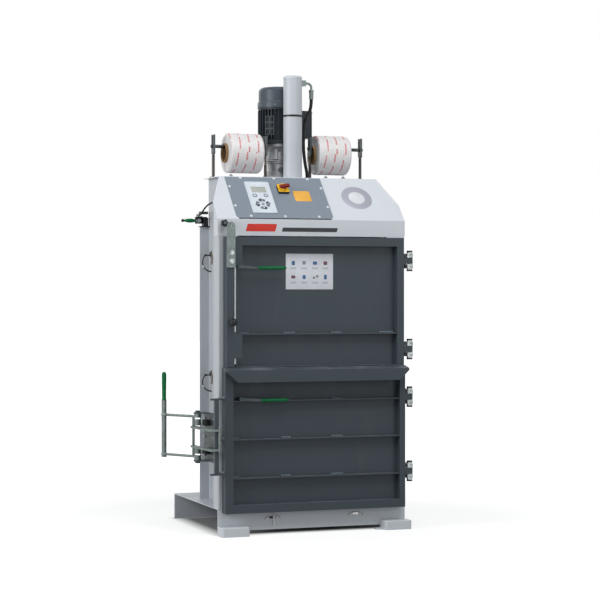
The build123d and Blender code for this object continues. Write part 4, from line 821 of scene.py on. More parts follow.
class BALER_OT_stage(BalerOperator):
    """Add the pale floor, the studio light and the camera."""

    bl_idname = "baler.stage"
    bl_label = "Stage"

    def execute(self, context):
        context.scene.view_settings.view_transform = "Standard"
        self.floor()
        self.sky(context.scene)
        self.lamp("overhead_softbox", (0.3, -3.4, 6.2), (0, 0, 1.1), 3.2, 182)
        self.lamp("left_softbox", (-6.4, -1.8, 3.2), (0, 0, 1.3), 2.6, 235)
        self.lamp("front_softbox", (3.2, -7.6, 2.6), (0, 0, 1.3), 2.6, 42)
        self.lamp("rear_softbox", (-1.0, 5.6, 4.6), (0, 0, 1.6), 2.6, 48)
        self.camera(context.scene)
        return {"FINISHED"}

    def shown(self, add):
        """A mask of the rays that show the background: camera, glossy and transmission rays."""
        rays = add("LightPath").outputs
        mirrored = add("Math", (rays["Is Glossy Ray"], rays["Is Transmission Ray"]), operation="MAXIMUM")
        return add("Math", (rays["Is Camera Ray"], mirrored), operation="MAXIMUM")

    def floor(self):
        """Adds the floor: mid grey to the light, with a white glow for the camera away from the baler that
        fades out over its footprint, a painted shadow under it.
        """
        begin()
        bpy.ops.mesh.primitive_plane_add(size=60, location=(0, 8, 0))
        floor = bpy.context.object
        bpy.ops.object.transform_apply(location=True, rotation=True, scale=True)
        floor.name = "studio_floor"
        material = bpy.data.materials.new("pale_floor")
        material.use_nodes = True
        material.node_tree.nodes.clear()
        add = functools.partial(add_node, material.node_tree)
        place = add("TexCoord").outputs["Object"]
        axes = add("SeparateXYZ", (place,)).outputs
        # Painted shadow: the glow drops to nothing over the baler's footprint, so the floor under it shows
        # dark.
        sides = []
        for value, middle, near, far in ((axes["X"], 0.09, 0.50, 0.62), (axes["Y"], 0.08, 0.40, 0.50)):
            off = add("Math", (add("Math", (value, middle), operation="SUBTRACT"),), operation="ABSOLUTE")
            sides.append(add("MapRange", (off, near, far)))
        outside_painted_shadow = add("Math", sides, operation="MAXIMUM")
        away = add("MapRange", (add("VectorMath", (place,), operation="LENGTH"), 1.4, 3.6, 0.72, 1.0))
        level = add("Math", (away, outside_painted_shadow), operation="MULTIPLY")
        glow = add("Emission", (rgba("#ffffff"), level))
        none = add("Emission", (rgba("#000000"), 0.0))
        lift = add("MixShader", (self.shown(add), none, glow))
        both = add("AddShader", (add("BsdfDiffuse", (rgba("#9e9e9e"),)), lift))
        add("OutputMaterial", {"Surface": both})
        floor.data.materials.append(material)

    def sky(self, scene):
        """Adds a soft world light behind a white background."""
        scene.world = bpy.data.worlds.new("studio")
        scene.world.use_nodes = True
        scene.world.node_tree.nodes.clear()
        add = functools.partial(add_node, scene.world.node_tree)
        soft = add("Background", (rgba("#f8fcff"), 0.36))
        white = add("Background", (rgba("#ffffff"), 1.0))
        add("OutputWorld", {"Surface": add("MixShader", (self.shown(add), soft, white))})

    def lamp(self, name, place, target, size, power):
        """Adds one square softbox that looks at a point."""
        light = bpy.data.lights.new(name, "AREA")
        light.shape = "SQUARE"
        light.size = size
        light.energy = power
        lamp = bpy.data.objects.new(name, light)
        bpy.context.scene.collection.objects.link(lamp)
        lamp.location = place
        lamp.rotation_euler = (Vector(target) - Vector(place)).to_track_quat("-Z", "Y").to_euler()

    def camera(self, scene):
        """Adds the camera, level and 20 degrees to the left of the front."""
        lens = bpy.data.cameras.new("camera")
        camera = bpy.data.objects.new("camera", lens)
        scene.collection.objects.link(camera)
        scene.camera = camera
        lens.sensor_width = 36
        lens.lens = 113.58
        lens.shift_x = -0.0036
        lens.shift_y = -0.02
        lens.clip_end = 100
        camera.location = (-3.8077, -10.8984, 1.443)
        camera.rotation_euler = (math.radians(90), 0.0, math.radians(-20.05))


class BALER_OT_pressure_hose(BalerOperator):
    """Add the pressure hose, its tie round the barrel and the grommet in the hood."""

    bl_idname = "baler.pressure_hose"
    bl_label = "Pressure hose"

    def execute(self, context):
        points = [
            (121, 355, 2597),
            (121, 356, 2535),
            (84, 360, 2478),
            (73, 364, 2385),
            (73, 364, 2290),
            (83, 362, 2200),
            (*HOSE_END, 2140),
            (*HOSE_END, 2070),
        ]
        width = sizes().hose_diameter
        hose = cord_line("pressure_hose_line", points, width, "hose")
        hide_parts("pressure_hose")

        tie_height = 2490
        tie = turned([(57.1, -6), (59.2, -5.5), (59.8, 0), (59.2, 5.5), (57.1, 6)], 64)
        settle(tie, "barrel_tie", "black", facing("up", *BARREL, tie_height))
        loop = turned([(10.4, -5), (12.4, -5), (12.4, 5), (10.4, 5)], 32)
        tilt = Matrix.Rotation(math.radians(-24), 4, "Y")
        settle(loop, "hose_tie", "black", facing("up", 93, 359, tie_height) @ tilt)

        grommet = turned([(10.2, -4), (16, -4), (17.5, 0), (16.5, 4), (12.5, 6), (10.2, 5)], 32)
        settle(grommet, "hose_grommet", "hose", facing("up", *HOSE_END, 2114))
        return {"FINISHED"}


class BALER_OT_lever_cable(BalerOperator):
    """Add the side lever's sheathed cable and its two end nipples."""

    bl_idname = "baler.lever_cable"
    bl_label = "Lever cable"

    def execute(self, context):
        points = [
            (-541, 552, 1885),
            (-541, 500, 1885),
            (-538, 450, 1917),
            (-532, 386, 1943),
            (-519, 328, 1957),
            (-490, 277, 1960),
            (-490, 225, 1960),
        ]
        width = sizes().cable_diameter
        cable = cord_line("lever_cable_line", points, width, "hose")
        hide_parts("lever_cable")
        nipple = turned([(5.2, 0), (7.2, 0), (7.6, 2), (6.6, 16), (5.6, 20), (5.2, 20)], 24)
        places = [facing("front", -541, 551.5, 1885), facing("rear", -490, 225.5, 1960)]
        spread(nipple, "cable_nipples", "zinc", places)
        return {"FINISHED"}


class BALER_OT_frame_finish(BalerOperator):
    """Give the carried-over sheet metal, castings and steel their finishes."""

    bl_idname = "baler.frame_finish"
    bl_label = "Frame finishes"

    def execute(self, context):
        dress("hood_paint", "hood", "front_beam", "foot_left", "foot_right")
        dress("frame_paint", "base_plate", "column_left", "column_right", "side_wall_left", "side_wall_right")
        dress("frame_paint", "rear_wall", "chamber_floor", "head_beam", "cylinder", "oil_tank")
        dress("door_paint", "upper_door", "lower_door", "door_lip", "latch_bracket", "platen")
        dress("panel_paint", "control_panel")
        dress("motor_dark", "motor", "terminal_box")
        dress("motor_paint", "fan_cowl")
        dress("alloy", "pump_housing")
        dress("zinc", "interlock_strap", "latch_handle", "latch_hook", "side_lever", "cylinder_fittings")
        dress("dark_zinc", "upper_lever", "lower_lever", "latch_console")
        dress("bright_zinc", "hinges_upper_door", "hinges_lower_door")
        dress("steel", "piston_rod")
        dress("spindle_steel", "spindle_left", "spindle_right")
        dress("black_steel", "lever_block")
        dress("black", "filler_cap", "hood_knob")
        dress(slide_paint(), "slide_bar")
        dress(guide_coat(), "strap_guide_upper", "strap_guide_lower")
        dress(stand_steel(), "roll_stand_left", "roll_stand_right")
        return {"FINISHED"}


class BALER_OT_panel_screws(BalerOperator):
    """Add the ten pale round screws of the control panel, and a thin black strip along its lower edge that is
    a painted shadow.
    """

    bl_idname = "baler.panel_screws"
    bl_label = "Panel screws"

    def execute(self, context):
        # A thin black strip along the panel's lower edge: a painted shadow under that edge.
        edge_shadow = rounded_plate(578, 5.2, 2.2, 1.5)
        settle(edge_shadow, "panel_edge_shadow_strip", "black", on_slope(-169, 4.2))
        radius = sizes().screw_radius
        begin()
        bpy.ops.mesh.primitive_uv_sphere_add(segments=24, ring_count=12, radius=radius)
        cap = context.object
        cut_off((0, 0, 0), (0, 0, 1))
        bpy.ops.transform.resize(value=(1, 1, 0.5), center_override=(0, 0, 0))
        edit_faces(lambda middle, normal: normal.z > 0.98 and middle.z > 0)
        bpy.ops.mesh.inset(thickness=radius * 0.10)
        push(-radius * 1000 * 0.14)
        bpy.ops.object.mode_set(mode="OBJECT")
        top = [(-374, 347), (-162, 347), (52, 346)]
        bottom = [(-380, 23), (-167, 23), (47, 23)]
        sides = [(-457, 272), (-458, 109), (121, 269), (122, 106)]
        places = [on_slope(x, up, PANEL_LIFT) for x, up in top + bottom + sides]
        spread(cap, "panel_screws", "white_film", places)
        return {"FINISHED"}


class BALER_OT_keypad(BalerOperator):
    """Add the keypad with its window, two round keys and a ring of arrow keys."""

    bl_idname = "baler.keypad"
    bl_label = "Keypad"

    def execute(self, context):
        plate = rounded_plate(152, 266, 5, 8, 0.8)
        sink_top(3, 0.3)
        settle(plate, "keypad_plate", "key_film", on_slope(-285, 180, PANEL_LIFT))
        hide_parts("keypad")
        bezel = rounded_plate(102, 58, 1, 3)
        sink_top(4.5, 0.6)
        settle(bezel, "window_bezel", "white_film", on_slope(*WINDOW, KEY_LIFT))
        glass = rounded_plate(92, 48, 0.6, 2, 0.2)
        settle(glass, "window_glass", display_glass(), on_slope(*WINDOW, KEY_LIFT + 0.4))

        keys = [on_slope(x, 193, KEY_LIFT) for x in (-320, -251)]
        ring = turned([(8, 0), (13.8, 0), (13.8, 0.9), (12.9, 1.5), (8.9, 1.5), (8, 0.9)], 32)
        spread(ring, "key_rings", "key_dark", keys)
        button = turned([(0, 0), (8.1, 0), (8.1, 0.7), (7.1, 1.4), (0, 1.8)], 32)
        spread(button, "round_keys", "key_film", keys)
        heart = turned([(0, 0), (10.5, 0), (10.5, 0.8), (9.4, 1.5), (0, 1.8)], 32)
        settle(heart, "middle_key", "key_mid", on_slope(*ARROW_RING, KEY_LIFT))
        self.arrow_keys()
        return {"FINISHED"}

    def arrow_keys(self):
        """Adds the ring of four keys, each spun over its own arc from a thin wall, and their arrow marks."""
        inner, outer, arc = 22.2, 42.2, 70
        key = block((outer - inner, 0.2, 1.4), ((inner + outer) / 2, 0, 0.7))
        edit_faces(lambda middle, normal: normal.y > 0.9)
        bpy.ops.mesh.spin(steps=12, angle=math.radians(arc), center=(0, 0, 0), axis=(0, 0, 1))
        close_spin()

        def on_rim(middle, way):
            """Passes the upper edges of the inner and the outer wall."""
            reach = middle.xy.length * 1000
            return middle.z > 0.0013 and min(abs(reach - inner), abs(reach - outer)) < 0.8

        bevel_edges(on_rim, 0.6, 1)
        keys = [on_slope(*ARROW_RING, KEY_LIFT, turn + arc / 2) for turn in QUARTERS]
        spread(key, "arrow_keys", "key_dark", keys)

        begin()
        bpy.ops.mesh.primitive_cylinder_add(
            vertices=3, radius=0.0062, depth=0.0007,
            location=(0.0318, 0, 0.00165), rotation=(0, 0, -math.pi / 2),
        )
        mark = scaled(1, 1, 1)
        bevel_edges(stands_up, 1.2, 2)
        spread(mark, "arrow_marks", "key_film", [on_slope(*ARROW_RING, KEY_LIFT, turn) for turn in QUARTERS])


class BALER_OT_main_switch(BalerOperator):
    """Add the main switch: a black base, a yellow plate, a collar and a red knob with its grip bar."""

    bl_idname = "baler.main_switch"
    bl_label = "Main switch"

    def execute(self, context):
        rise = sizes().switch_rise * 1000
        lift = PANEL_LIFT + rise
        base = rounded_plate(68, 68, rise, 5, 1)
        settle(base, "switch_back", "black", on_slope(-130, 250, PANEL_LIFT))
        plate = rounded_plate(67, 64, 3.4, 4, 0.8)
        settle(plate, "switch_plate", "yellow", on_slope(*SWITCH, lift - 0.2))
        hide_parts("switch_base")
        collar = turned([(12, 0), (27.5, 0), (27.5, 8), (26.2, 11.4), (24.6, 12.2), (12, 12.2)])
        settle(collar, "switch_collar", "yellow", on_slope(*SWITCH, lift + 3))

        drum = turned([(0, 0), (17.5, 0), (18, 0.8), (17.4, 6.2), (16, 7.8), (0, 8.2)])
        drum.matrix_world = Matrix.Translation((0.006, 0, 0))
        bar = block((26, 66, 15), (4, 2, 8.5))
        edit_faces(looks_up)
        bpy.ops.transform.resize(value=(0.70, 0.94, 1), center_override=(0.004, 0.002, 0.015))
        bevel_edges(everywhere, 3.5, 4)
        knob = joined([drum, bar])
        settle(knob, "switch_grip", "red", on_slope(*SWITCH, lift + 15.6, -78), "switch_knob")
        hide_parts("switch_knob")
        return {"FINISHED"}


class BALER_OT_plain_fields(BalerOperator):
    """Add the plain fields of colour on the hood: an amber plate, a silver ring and disc, and two bars."""

    bl_idname = "baler.plain_fields"
    bl_label = "Plain colour fields"

    def execute(self, context):
        amber = rounded_plate(104, 88, 0.6, 10, 0.2)
        settle(amber, "amber_field", "amber", on_slope(-18, 198, PANEL_LIFT))
        rim = turned([(52, 0), (96, 0), (96, 0.4), (95.5, 0.6), (52, 0.6)], 72)
        settle(rim, "silver_ring", "silver", on_slope(*SEAL))
        heart = turned([(0, 0), (51, 0), (51, 0.5), (50, 0.8), (0, 0.8)], 72)
        settle(heart, "silver_disc", "white_film", on_slope(*SEAL))
        self.slanted_bar("red_bar", -328, 1797, 182, 44, "red_film")
        self.slanted_bar("charcoal_bar", -22, 1787, 346, 24, "dark_film")
        return {"FINISHED"}

    def slanted_bar(self, name, x, z, width, height, film):
        """Adds one flat bar with slanted ends on the hood's face."""
        bar = block((width, height, 0.6), (0, 0, 0.3))
        edit_faces(lambda middle, normal: normal.y > 0.9)
        bpy.ops.transform.translate(value=(height * 0.28 / 1000, 0, 0))
        bevel_edges(stands_up, 2, 2)
        settle(bar, name, film, facing("front", x, 0, z))


class BALER_OT_sheet(BalerOperator):
    """Add the laminated sheet on the upper door, with simple coloured shapes."""

    bl_idname = "baler.sheet"
    bl_label = "Sheet on the door"

    def execute(self, context):
        sheet = rounded_plate(sizes().sheet_width * 1000, sizes().sheet_height * 1000, 0.7, 3, 0.2)
        settle(sheet, "door_sheet", "paper", facing("front", -28, -17, 1540), "upper_door")
        first, second, third, fourth = columns = (-130, -62, 6, 72)
        blue = [(first, 1590, 20, 26), (third, 1590, 26, 20), (second, 1508, 20, 24), (fourth, 1508, 18, 28)]
        self.marks("sheet_blue_marks", "ink_blue", blue)
        plum = [(fourth, 1590, 24, 22), (first, 1508, 26, 18), (third - 6, 1504, 12, 12)]
        self.marks("sheet_plum_marks", "ink_plum", plum)
        grey = [(column, z, 38, 2.4) for column in columns for z in (1562, 1556, 1478, 1472)]
        grey += [(second, 1592, 22, 22), (third + 14, 1512, 16, 16)]
        self.marks("sheet_grey_marks", "ink_grey", grey)
        return {"FINISHED"}

    def marks(self, name, film, blocks):
        """Adds a set of small printed fields on the sheet's face, each a rounded rectangle."""
        parts = []
        for x, z, width, height in blocks:
            part = rounded_plate(width, height, 0.25, min(width, height) * 0.28)
            part.matrix_world = facing("front", x, -17.7, z)
            parts.append(part)
        settle(joined(parts), name, film, None, "upper_door")


class BALER_OT_grips(BalerOperator):
    """Add the dipped green grips of the levers and the latch, and the black ball of the side lever."""

    bl_idname = "baler.grips"
    bl_label = "Green grips"

    def execute(self, context):
        upper = facing("right", -366, -78.3, 1560)
        lower = facing("right", -348, -78.3, 789)
        latch = facing("up", -791.06, 431.44, 771)
        for name, body, node, length, radius, place in (
            ("upper_lever_sleeve", "upper_lever", "upper_lever_grip", 172, 11, upper),
            ("lower_lever_sleeve", "lower_lever", "lower_lever_grip", 167, 11, lower),
            ("latch_sleeve", "latch_handle", "latch_grip", 170, 14, latch),
        ):
            grip = self.sleeve(length, radius)
            settle(grip, name, "green", place, body)
            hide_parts(node)

        outline = [(0, 0), (8, 0), (9.2, 1.5), (8.8, 4), (11.2, 14), (12.8, 30), (12.2, 46)]
        outline += [(9.2, 60), (6.2, 68.5), (5.6, 71), (0, 71)]
        spindle = turned(outline, 32)
        settle(spindle, "side_sleeve", "green", facing("left", -556, *SIDE_LEVER), "side_lever")
        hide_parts("side_grip")
        outline = [(0, -0.4), (5.6, 0), (8.6, 3), (9.9, 7.2), (9.4, 11.8), (7, 15.2), (3.6, 16.8), (0, 17)]
        ball = turned(outline, 32)
        settle(ball, "side_lever_ball", "black", facing("left", -626.9, *SIDE_LEVER), "side_lever")
        return {"FINISHED"}

    def sleeve(self, length, radius):
        """A dipped vinyl sleeve: a bead at the mouth, a slight swell along it and a domed end."""
        mouth = [(0, 0), (radius * 0.86, 0), (radius * 0.99, 1.2), (radius, 4.2), (radius * 0.90, 6.8)]
        swell = [(radius * wide, length * far) for wide, far in ((0.90, 0.25), (0.95, 0.55), (0.99, 0.82))]
        dome = ((0.96, 0.95), (0.84, 0.48), (0.58, 0.16), (0.26, 0.02))
        end = [(radius * wide, length - radius * low) for wide, low in dome]
        return turned([*mouth, *swell, *end, (0, length)], 36)


class BALER_OT_knobs(BalerOperator):
    """Add the slide bar's ball knob with its steel collar, and the hood knob's cap and washer."""

    bl_idname = "baler.knobs"
    bl_label = "Black knobs"

    def execute(self, context):
        x, z = SLIDE_KNOB
        begin()
        bpy.ops.mesh.primitive_uv_sphere_add(segments=48, ring_count=24, radius=0.0215)
        ball = context.object
        cut_off((0, 0, -18), (0, 0, 1))
        edit_faces(lambda middle, normal: normal.z < -0.98 and middle.z < -0.0175)
        bpy.ops.mesh.inset(thickness=0.0016)
        push(0.6)
        bpy.ops.object.mode_set(mode="OBJECT")
        settle(ball, "slide_knob", "black", facing("front", x, -97, z), "slide_bar", angle=45)
        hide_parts("ball_knob")
        collar = turned([(5.2, 0), (9.6, 0), (10, 0.6), (10, 3.6), (9.2, 4.6), (5.2, 4.6)], 32)
        settle(collar, "slide_knob_collar", "steel", facing("front", x, -74.2, z), "slide_bar")

        x, z = HOOD_KNOB
        cap = turned([(0, 0), (8.5, 0), (8.5, 0.6), (7, 1.4), (0, 1.8)], 32)
        settle(cap, "hood_knob_cap", "key_dark", facing("front", x, -37.6, z))
        washer = turned([(8.2, 0), (15, 0), (15, 1.8), (14.2, 2.4), (8.2, 2.4)], 32)
        settle(washer, "hood_knob_washer", "zinc", facing("front", x, 0, z))
        return {"FINISHED"}


class BALER_OT_bolts(BalerOperator):
    """Add the bolts, screws and dome nuts of the hood, strap, latch, motor, hinges and rear flange."""

    bl_idname = "baler.bolts"
    bl_label = "Bolts and nuts"

    def execute(self, context):
        outline = [(0, 0), (14, 0), (14, 1.6), (10.5, 1.8), (10, 7), (8.2, 11.2), (4.4, 13.8), (0, 14.2)]
        places = [facing("up", x, 272, 2110) for x in (-422, 184, 297)]
        spread(turned(outline, 24), "hood_top_nuts", "zinc", places)
        places = [facing("front", -529, -77, z, 12) for z in (1597, 1648)]
        spread(hex_bolt(21, 10, 14.5), "strap_bolts", "bright_zinc", places, "upper_door")
        places = [facing("left", -598, y, z, 8) for y in (50, 226) for z in (455, 565, 675)]
        spread(hex_bolt(13, 5.5, 10), "console_bolts", "steel", places)

        places = [facing("down", *on_circle(MOTOR, 98, turn), 2312) for turn in CORNERS]
        spread(hex_bolt(17, 7), "motor_flange_bolts", "zinc", places)
        places = [facing("up", *on_circle(MOTOR, 84, turn), 2124) for turn in CORNERS]
        spread(hex_bolt(13, 6, 10), "bell_foot_bolts", "zinc", places)
        places = [outward(MOTOR, 131.8, turn, 2568) for turn in (-165, -120, -60, -15, 60, 120)]
        spread(hex_bolt(8, 3), "cowl_screws", "zinc", places)
        places = [facing("right", 184.8, y, z) for y in (521, 583) for z in (2382, 2531)]
        spread(hex_bolt(8, 3, 6.5), "terminal_lid_screws", "steel", places)

        places = [facing("right", 602, 44, height + side) for height in HINGE_HEIGHTS for side in (-12, 12)]
        spread(hex_bolt(13, 5.5, 10), "hinge_strap_bolts", "zinc", places)
        heights = (240, 560, 880, 1200, 1520, 1780)
        places = [facing("rear", x, 566, z) for x in (-482, 482) for z in heights]
        spread(hex_bolt(13, 5.5, 10), "rear_flange_bolts", "zinc", places)
        return {"FINISHED"}


class BALER_OT_strap_rolls(BalerOperator):
    """Add the two wound rolls of strapping, each on its card core, and the sleeves of the stands' posts."""

    bl_idname = "baler.strap_rolls"
    bl_label = "Strapping rolls"

    def execute(self, context):
        tint = finishes()
        half = sizes().roll_width * 1000 / 2
        outline = self.roll_outline(half, 121, 13, 59.5)
        reach = half + 14
        tube = [(50, -reach), (50.5, -reach - 0.3), (58.5, -reach - 0.3), (59, -reach)]
        tube += [(59, reach), (58.5, reach + 0.3), (50.5, reach + 0.3), (50, reach)]
        for start, side in ((-399, "left"), (167, "right")):
            middle = spot(start + half, *ROLL_AXIS)
            place = facing("right", start + half, *ROLL_AXIS)
            body = f"roll_{side}"
            weave = woven_strapping(f"woven_strapping_{side}", tint.strap, tint.dash, middle, half / 1000)
            roll = turned(outline, 96)
            settle(roll, f"wound_strapping_{side}", weave, place, body, 50)
            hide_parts(f"strap_roll_{side}")
            card = card_tube(f"wound_card_{side}", tint.card, middle)
            core = settle(turned(tube, 64), f"card_core_{side}", card, place, body)
            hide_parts(f"roll_core_{side}")

        foot = 2116
        posts = ((-478, 2250, "outer_left"), (-145, 2196, "inner_left"))
        posts += ((145, 2196, "inner_right"), (478, 2250, "outer_right"))
        for x, top, side in posts:
            rise = top - foot
            outline = [(6.6, 0), (8.4, 0), (9.2, 0.8), (9.2, rise - 0.8), (8.4, rise), (6.6, rise)]
            place = facing("up", x, ROLL_AXIS[0], foot)
            settle(turned(outline, 32), f"post_sleeve_{side}", "sleeve", place)
        return {"FINISHED"}

    def roll_outline(self, half, radius, shoulder, bore):
        """The wound roll's section: bands that sag between their edges, and stepped turns at its ends."""
        def face(sign):
            points = []
            step = bore
            while step < radius - shoulder:
                points += [(step, sign * (half - 0.6)), (step + 1.2, sign * half), (step + 3, sign * half)]
                step += 4.2
            for i in range(7):
                turn = math.radians(90 * (i + 0.5) / 7)
                reach = shoulder - (0.4 if i % 2 else 0.0)
                along = half - shoulder + reach * math.cos(turn)
                points.append((radius - shoulder + reach * math.sin(turn), sign * along))
            return points

        count = 12
        start, end = shoulder - half, half - shoulder
        width = (end - start) / count
        bands = []
        for i in range(count):
            low = start + width * i
            bands += [(radius - 0.7, low), (radius, low + width * 0.18)]
            bands += [(radius - 0.1, low + width * 0.5), (radius, low + width * 0.82)]
        return [*face(-1), *bands, (radius - 0.7, end), *reversed(face(1))]


class BALER_OT_motor_fittings(BalerOperator):
    """Add the motor's lifting eye, plain plate, gland, foot pads and cast bell, and the barrel's top seam."""

    bl_idname = "baler.motor_fittings"
    bl_label = "Motor and cylinder fittings"

    def execute(self, context):
        begin()
        bpy.ops.mesh.primitive_torus_add(
            major_segments=32, minor_segments=12, major_radius=0.017, minor_radius=0.0048,
            location=(0, 0, 0.024), rotation=(math.pi / 2, 0, 0),
        )
        eye = context.object
        foot = turned([(0, 0), (12.5, 0), (12.5, 2.5), (7, 5), (5, 8.5), (0, 8.5)], 24)
        settle(joined([eye, foot]), "lifting_eye", "zinc", facing("rear", MOTOR[0], 678, 2440))
        plate = rounded_plate(90, 50, 1, 4, 0.3)
        sink_top(3, 0.3)
        settle(plate, "plain_motor_plate", "alloy", facing("right", 185, MOTOR[1], 2456, 90))
        gland = turned([(0, 0), (13, 0), (13, 8), (10.5, 10), (10.5, 16), (8.5, 21), (0, 21.5)], 6)
        settle(gland, "cable_gland", "black", facing("down", 142, MOTOR[1], 2372), angle=20)
        seam = turned([(56.6, -3), (57.6, -2.2), (57.9, 0), (57.6, 2.2), (56.6, 3)], 64)
        settle(seam, "barrel_top_seam", "hood_paint", facing("up", *BARREL, 2722))
        self.foot_pads()
        outline = [(124.5, 0), (131.5, 0), (132, 3), (131.8, 34), (129.8, 41), (124.5, 42.5)]
        settle(turned(outline, 72), "cowl_skirt", "motor_paint", facing("up", *MOTOR, 2551))
        self.bell_rings()
        return {"FINISHED"}

    def foot_pads(self):
        """Adds the four cast pads between the motor's fins, each with six cored pockets."""
        pad = grid(2, 3, 58, 116)
        edit_faces(everywhere)
        bpy.ops.mesh.inset(thickness=0.0055, use_individual=True)
        push(-9)
        bpy.ops.mesh.select_mode(type="EDGE")
        bpy.ops.mesh.select_all(action="DESELECT")
        bpy.ops.mesh.select_non_manifold()
        push(-18)
        bpy.ops.mesh.edge_face_add()
        bpy.ops.mesh.select_all(action="SELECT")
        bpy.ops.mesh.normals_make_consistent(inside=False)
        bpy.ops.object.mode_set(mode="OBJECT")
        upright = Matrix.Rotation(math.pi / 2, 4, "Z")
        places = [outward(MOTOR, 130, turn, 2440) @ upright for turn in (-135, -45, 45, 135)]
        spread(pad, "motor_foot_pads", "motor_dark", places)

    def bell_rings(self):
        """Adds the cast bell's two rings, its four lugs and a capped port."""
        for name, radius, low, height in (("bell_low_ring", 100, 2124, 12), ("bell_high_ring", 90, 2222, 10)):
            outline = [(66, 0), (radius - 2, 0), (radius, 2), (radius, height - 3)]
            outline += [(radius - 3, height), (66, height + 6)]
            settle(turned(outline, 64), name, "alloy", facing("up", *MOTOR, low))
        places = [facing("up", *on_circle(MOTOR, 78, turn), 2234, turn) for turn in (-125, -55, 55, 125)]
        spread(slab(30, 34, 78, 3), "bell_lugs", "alloy", places)
        port = turned([(0, 0), (17, 0), (17, 12), (14.5, 14), (10.5, 14), (10.5, 19), (0, 20)], 24)
        settle(port, "bell_port", "zinc", outward(MOTOR, 74, -100, 2170))


class BALER_OT_welds(BalerOperator):
    """Add the weld beads of the doors' ribs and of the latch plates."""

    bl_idname = "baler.welds"
    bl_label = "Weld beads"

    def execute(self, context):
        upper = ((-478, -404), (-194, -120), (107, 176), (413, 504))
        lower = ((-514, -465), (-207, -145), (107, 183))
        self.rib_welds("upper_rib_welds", "upper_door", upper, (1176,))
        self.rib_welds("lower_rib_welds", "lower_door", lower, (787, 563, 338))
        back = Matrix.Rotation(-math.pi / 2, 4, "X")
        beads = []
        for z in (366, 565, 800):
            for side in (-5.5, 5.5):
                beads.append(self.bead(46, facing("up", -565.5, -62, z + side) @ back))
        settle(joined(beads), "latch_plate_welds", "weld", None, "lower_door", angle=60)
        return {"FINISHED"}

    def rib_welds(self, name, body, tabs, ribs):
        """Adds a bead behind each tab of each rib, along the foot of the panel."""
        beads = []
        for z in ribs:
            for low, high in tabs:
                beads.append(self.bead(high - low, facing("right", low, -18.5, z + 3)))
        settle(joined(beads), name, "weld", None, body, angle=60)

    def bead(self, length, place):
        """A run of overlapping ripples, as a welder lays them, about 4.2 mm apart along its own Z."""
        radius = sizes().weld_radius * 1000
        count = max(4, round(length / 4.2))
        ripple = length / count
        outline = [(0, 0)]
        for i in range(count):
            outline += [(radius * 0.82, ripple * (i + 0.08)), (radius, ripple * (i + 0.5))]
        bead = turned([*outline, (0, length)], 10)
        bead.matrix_world = place
        return bead


class BALER_OT_rear_fittings(BalerOperator):
    """Add the oil tank's sight glass and drain plug, and the ring under its filler cap."""

    bl_idname = "baler.rear_fittings"
    bl_label = "Tank fittings"

    def execute(self, context):
        window = facing("rear", -150, TANK_BACK, 1960)
        ring = turned([(16, 0), (24, 0), (24, 3), (21, 6), (16, 6)], 32)
        settle(ring, "sight_glass_ring", "black", window)
        glass = turned([(0, 0), (16.5, 0), (16.5, 3), (0, 3.6)], 32)
        settle(glass, "sight_glass", oil_glass(), window)
        settle(hex_bolt(19, 9, 14), "drain_plug", "zinc", facing("rear", 150, TANK_BACK, 1885))
        rim = turned([(16.5, 0), (30, 0), (30, 1.5), (28, 2.5), (16.5, 2.5)], 32)
        settle(rim, "filler_rim", "steel", facing("up", 150, 690, 2110))
        return {"FINISHED"}


class BALER_OT_hinge_fittings(BalerOperator):
    """Add the black end caps, the brass washers and the grub screws of the hinges."""

    bl_idname = "baler.hinge_fittings"
    bl_label = "Hinge fittings"

    def execute(self, context):
        cap = turned([(0, 0), (15, 0), (17.6, 2), (18, 9.5), (17.2, 10.6), (0, 10.6)], 32)
        places = [facing("up", *HINGE, height + 51) for height in HINGE_HEIGHTS]
        places += [facing("down", *HINGE, height - 51) for height in HINGE_HEIGHTS]
        spread(cap, "hinge_end_caps", "black", places)
        washer = turned([(12, 0), (18.6, 0), (19, 0.5), (19, 2.3), (12, 2.6)], 32)
        places = [facing("up", *HINGE, height - 24.8) for height in HINGE_HEIGHTS]
        spread(washer, "hinge_washers", "brass", places)
        screw = turned([(0, -0.8), (2.6, -0.8), (3, 0.3), (4.8, 0.3), (5, -1), (0, -1)], 16)
        heights = [height + side for height in HINGE_HEIGHTS for side in (-35.5, 37)]
        places = [facing("front", HINGE[0], -70.8, height) for height in heights]
        spread(screw, "hinge_grub_screws", "black", places)
        return {"FINISHED"}


class BALER_OT_latch_fittings(BalerOperator):
    """Add the latch's grooved bearing housings with their arms and clamp screws, and the rubber stops."""

    bl_idname = "baler.latch_fittings"
    bl_label = "Latch fittings"

    def execute(self, context):
        outline = [(10.4, 0), (19, 0), (20.5, 1.6), (20.5, 14.4), (19, 16), (19, 19)]
        outline += [(20.5, 20.6), (20.5, 33.4), (19, 35), (10.4, 35)]
        places = [facing("up", -652, 200, z) for z in (466, 633)]
        spread(turned(outline, 32), "bearing_housings", "zinc", places)
        places = [facing("up", -617, 200, z) for z in (467.5, 634.5)]
        spread(slab(36, 26, 32, 2), "bearing_arms", "bright_zinc", places)
        places = [facing("up", -614.5, 150, z) for z in (466, 634)]
        spread(slab(30, 56, 34, 4), "rubber_stops", "hose", places)
        places = [facing("front", -617, 187, z) for z in (483.5, 650.5)]
        spread(hex_bolt(10, 5, 8), "bearing_screws", "steel", places)
        return {"FINISHED"}


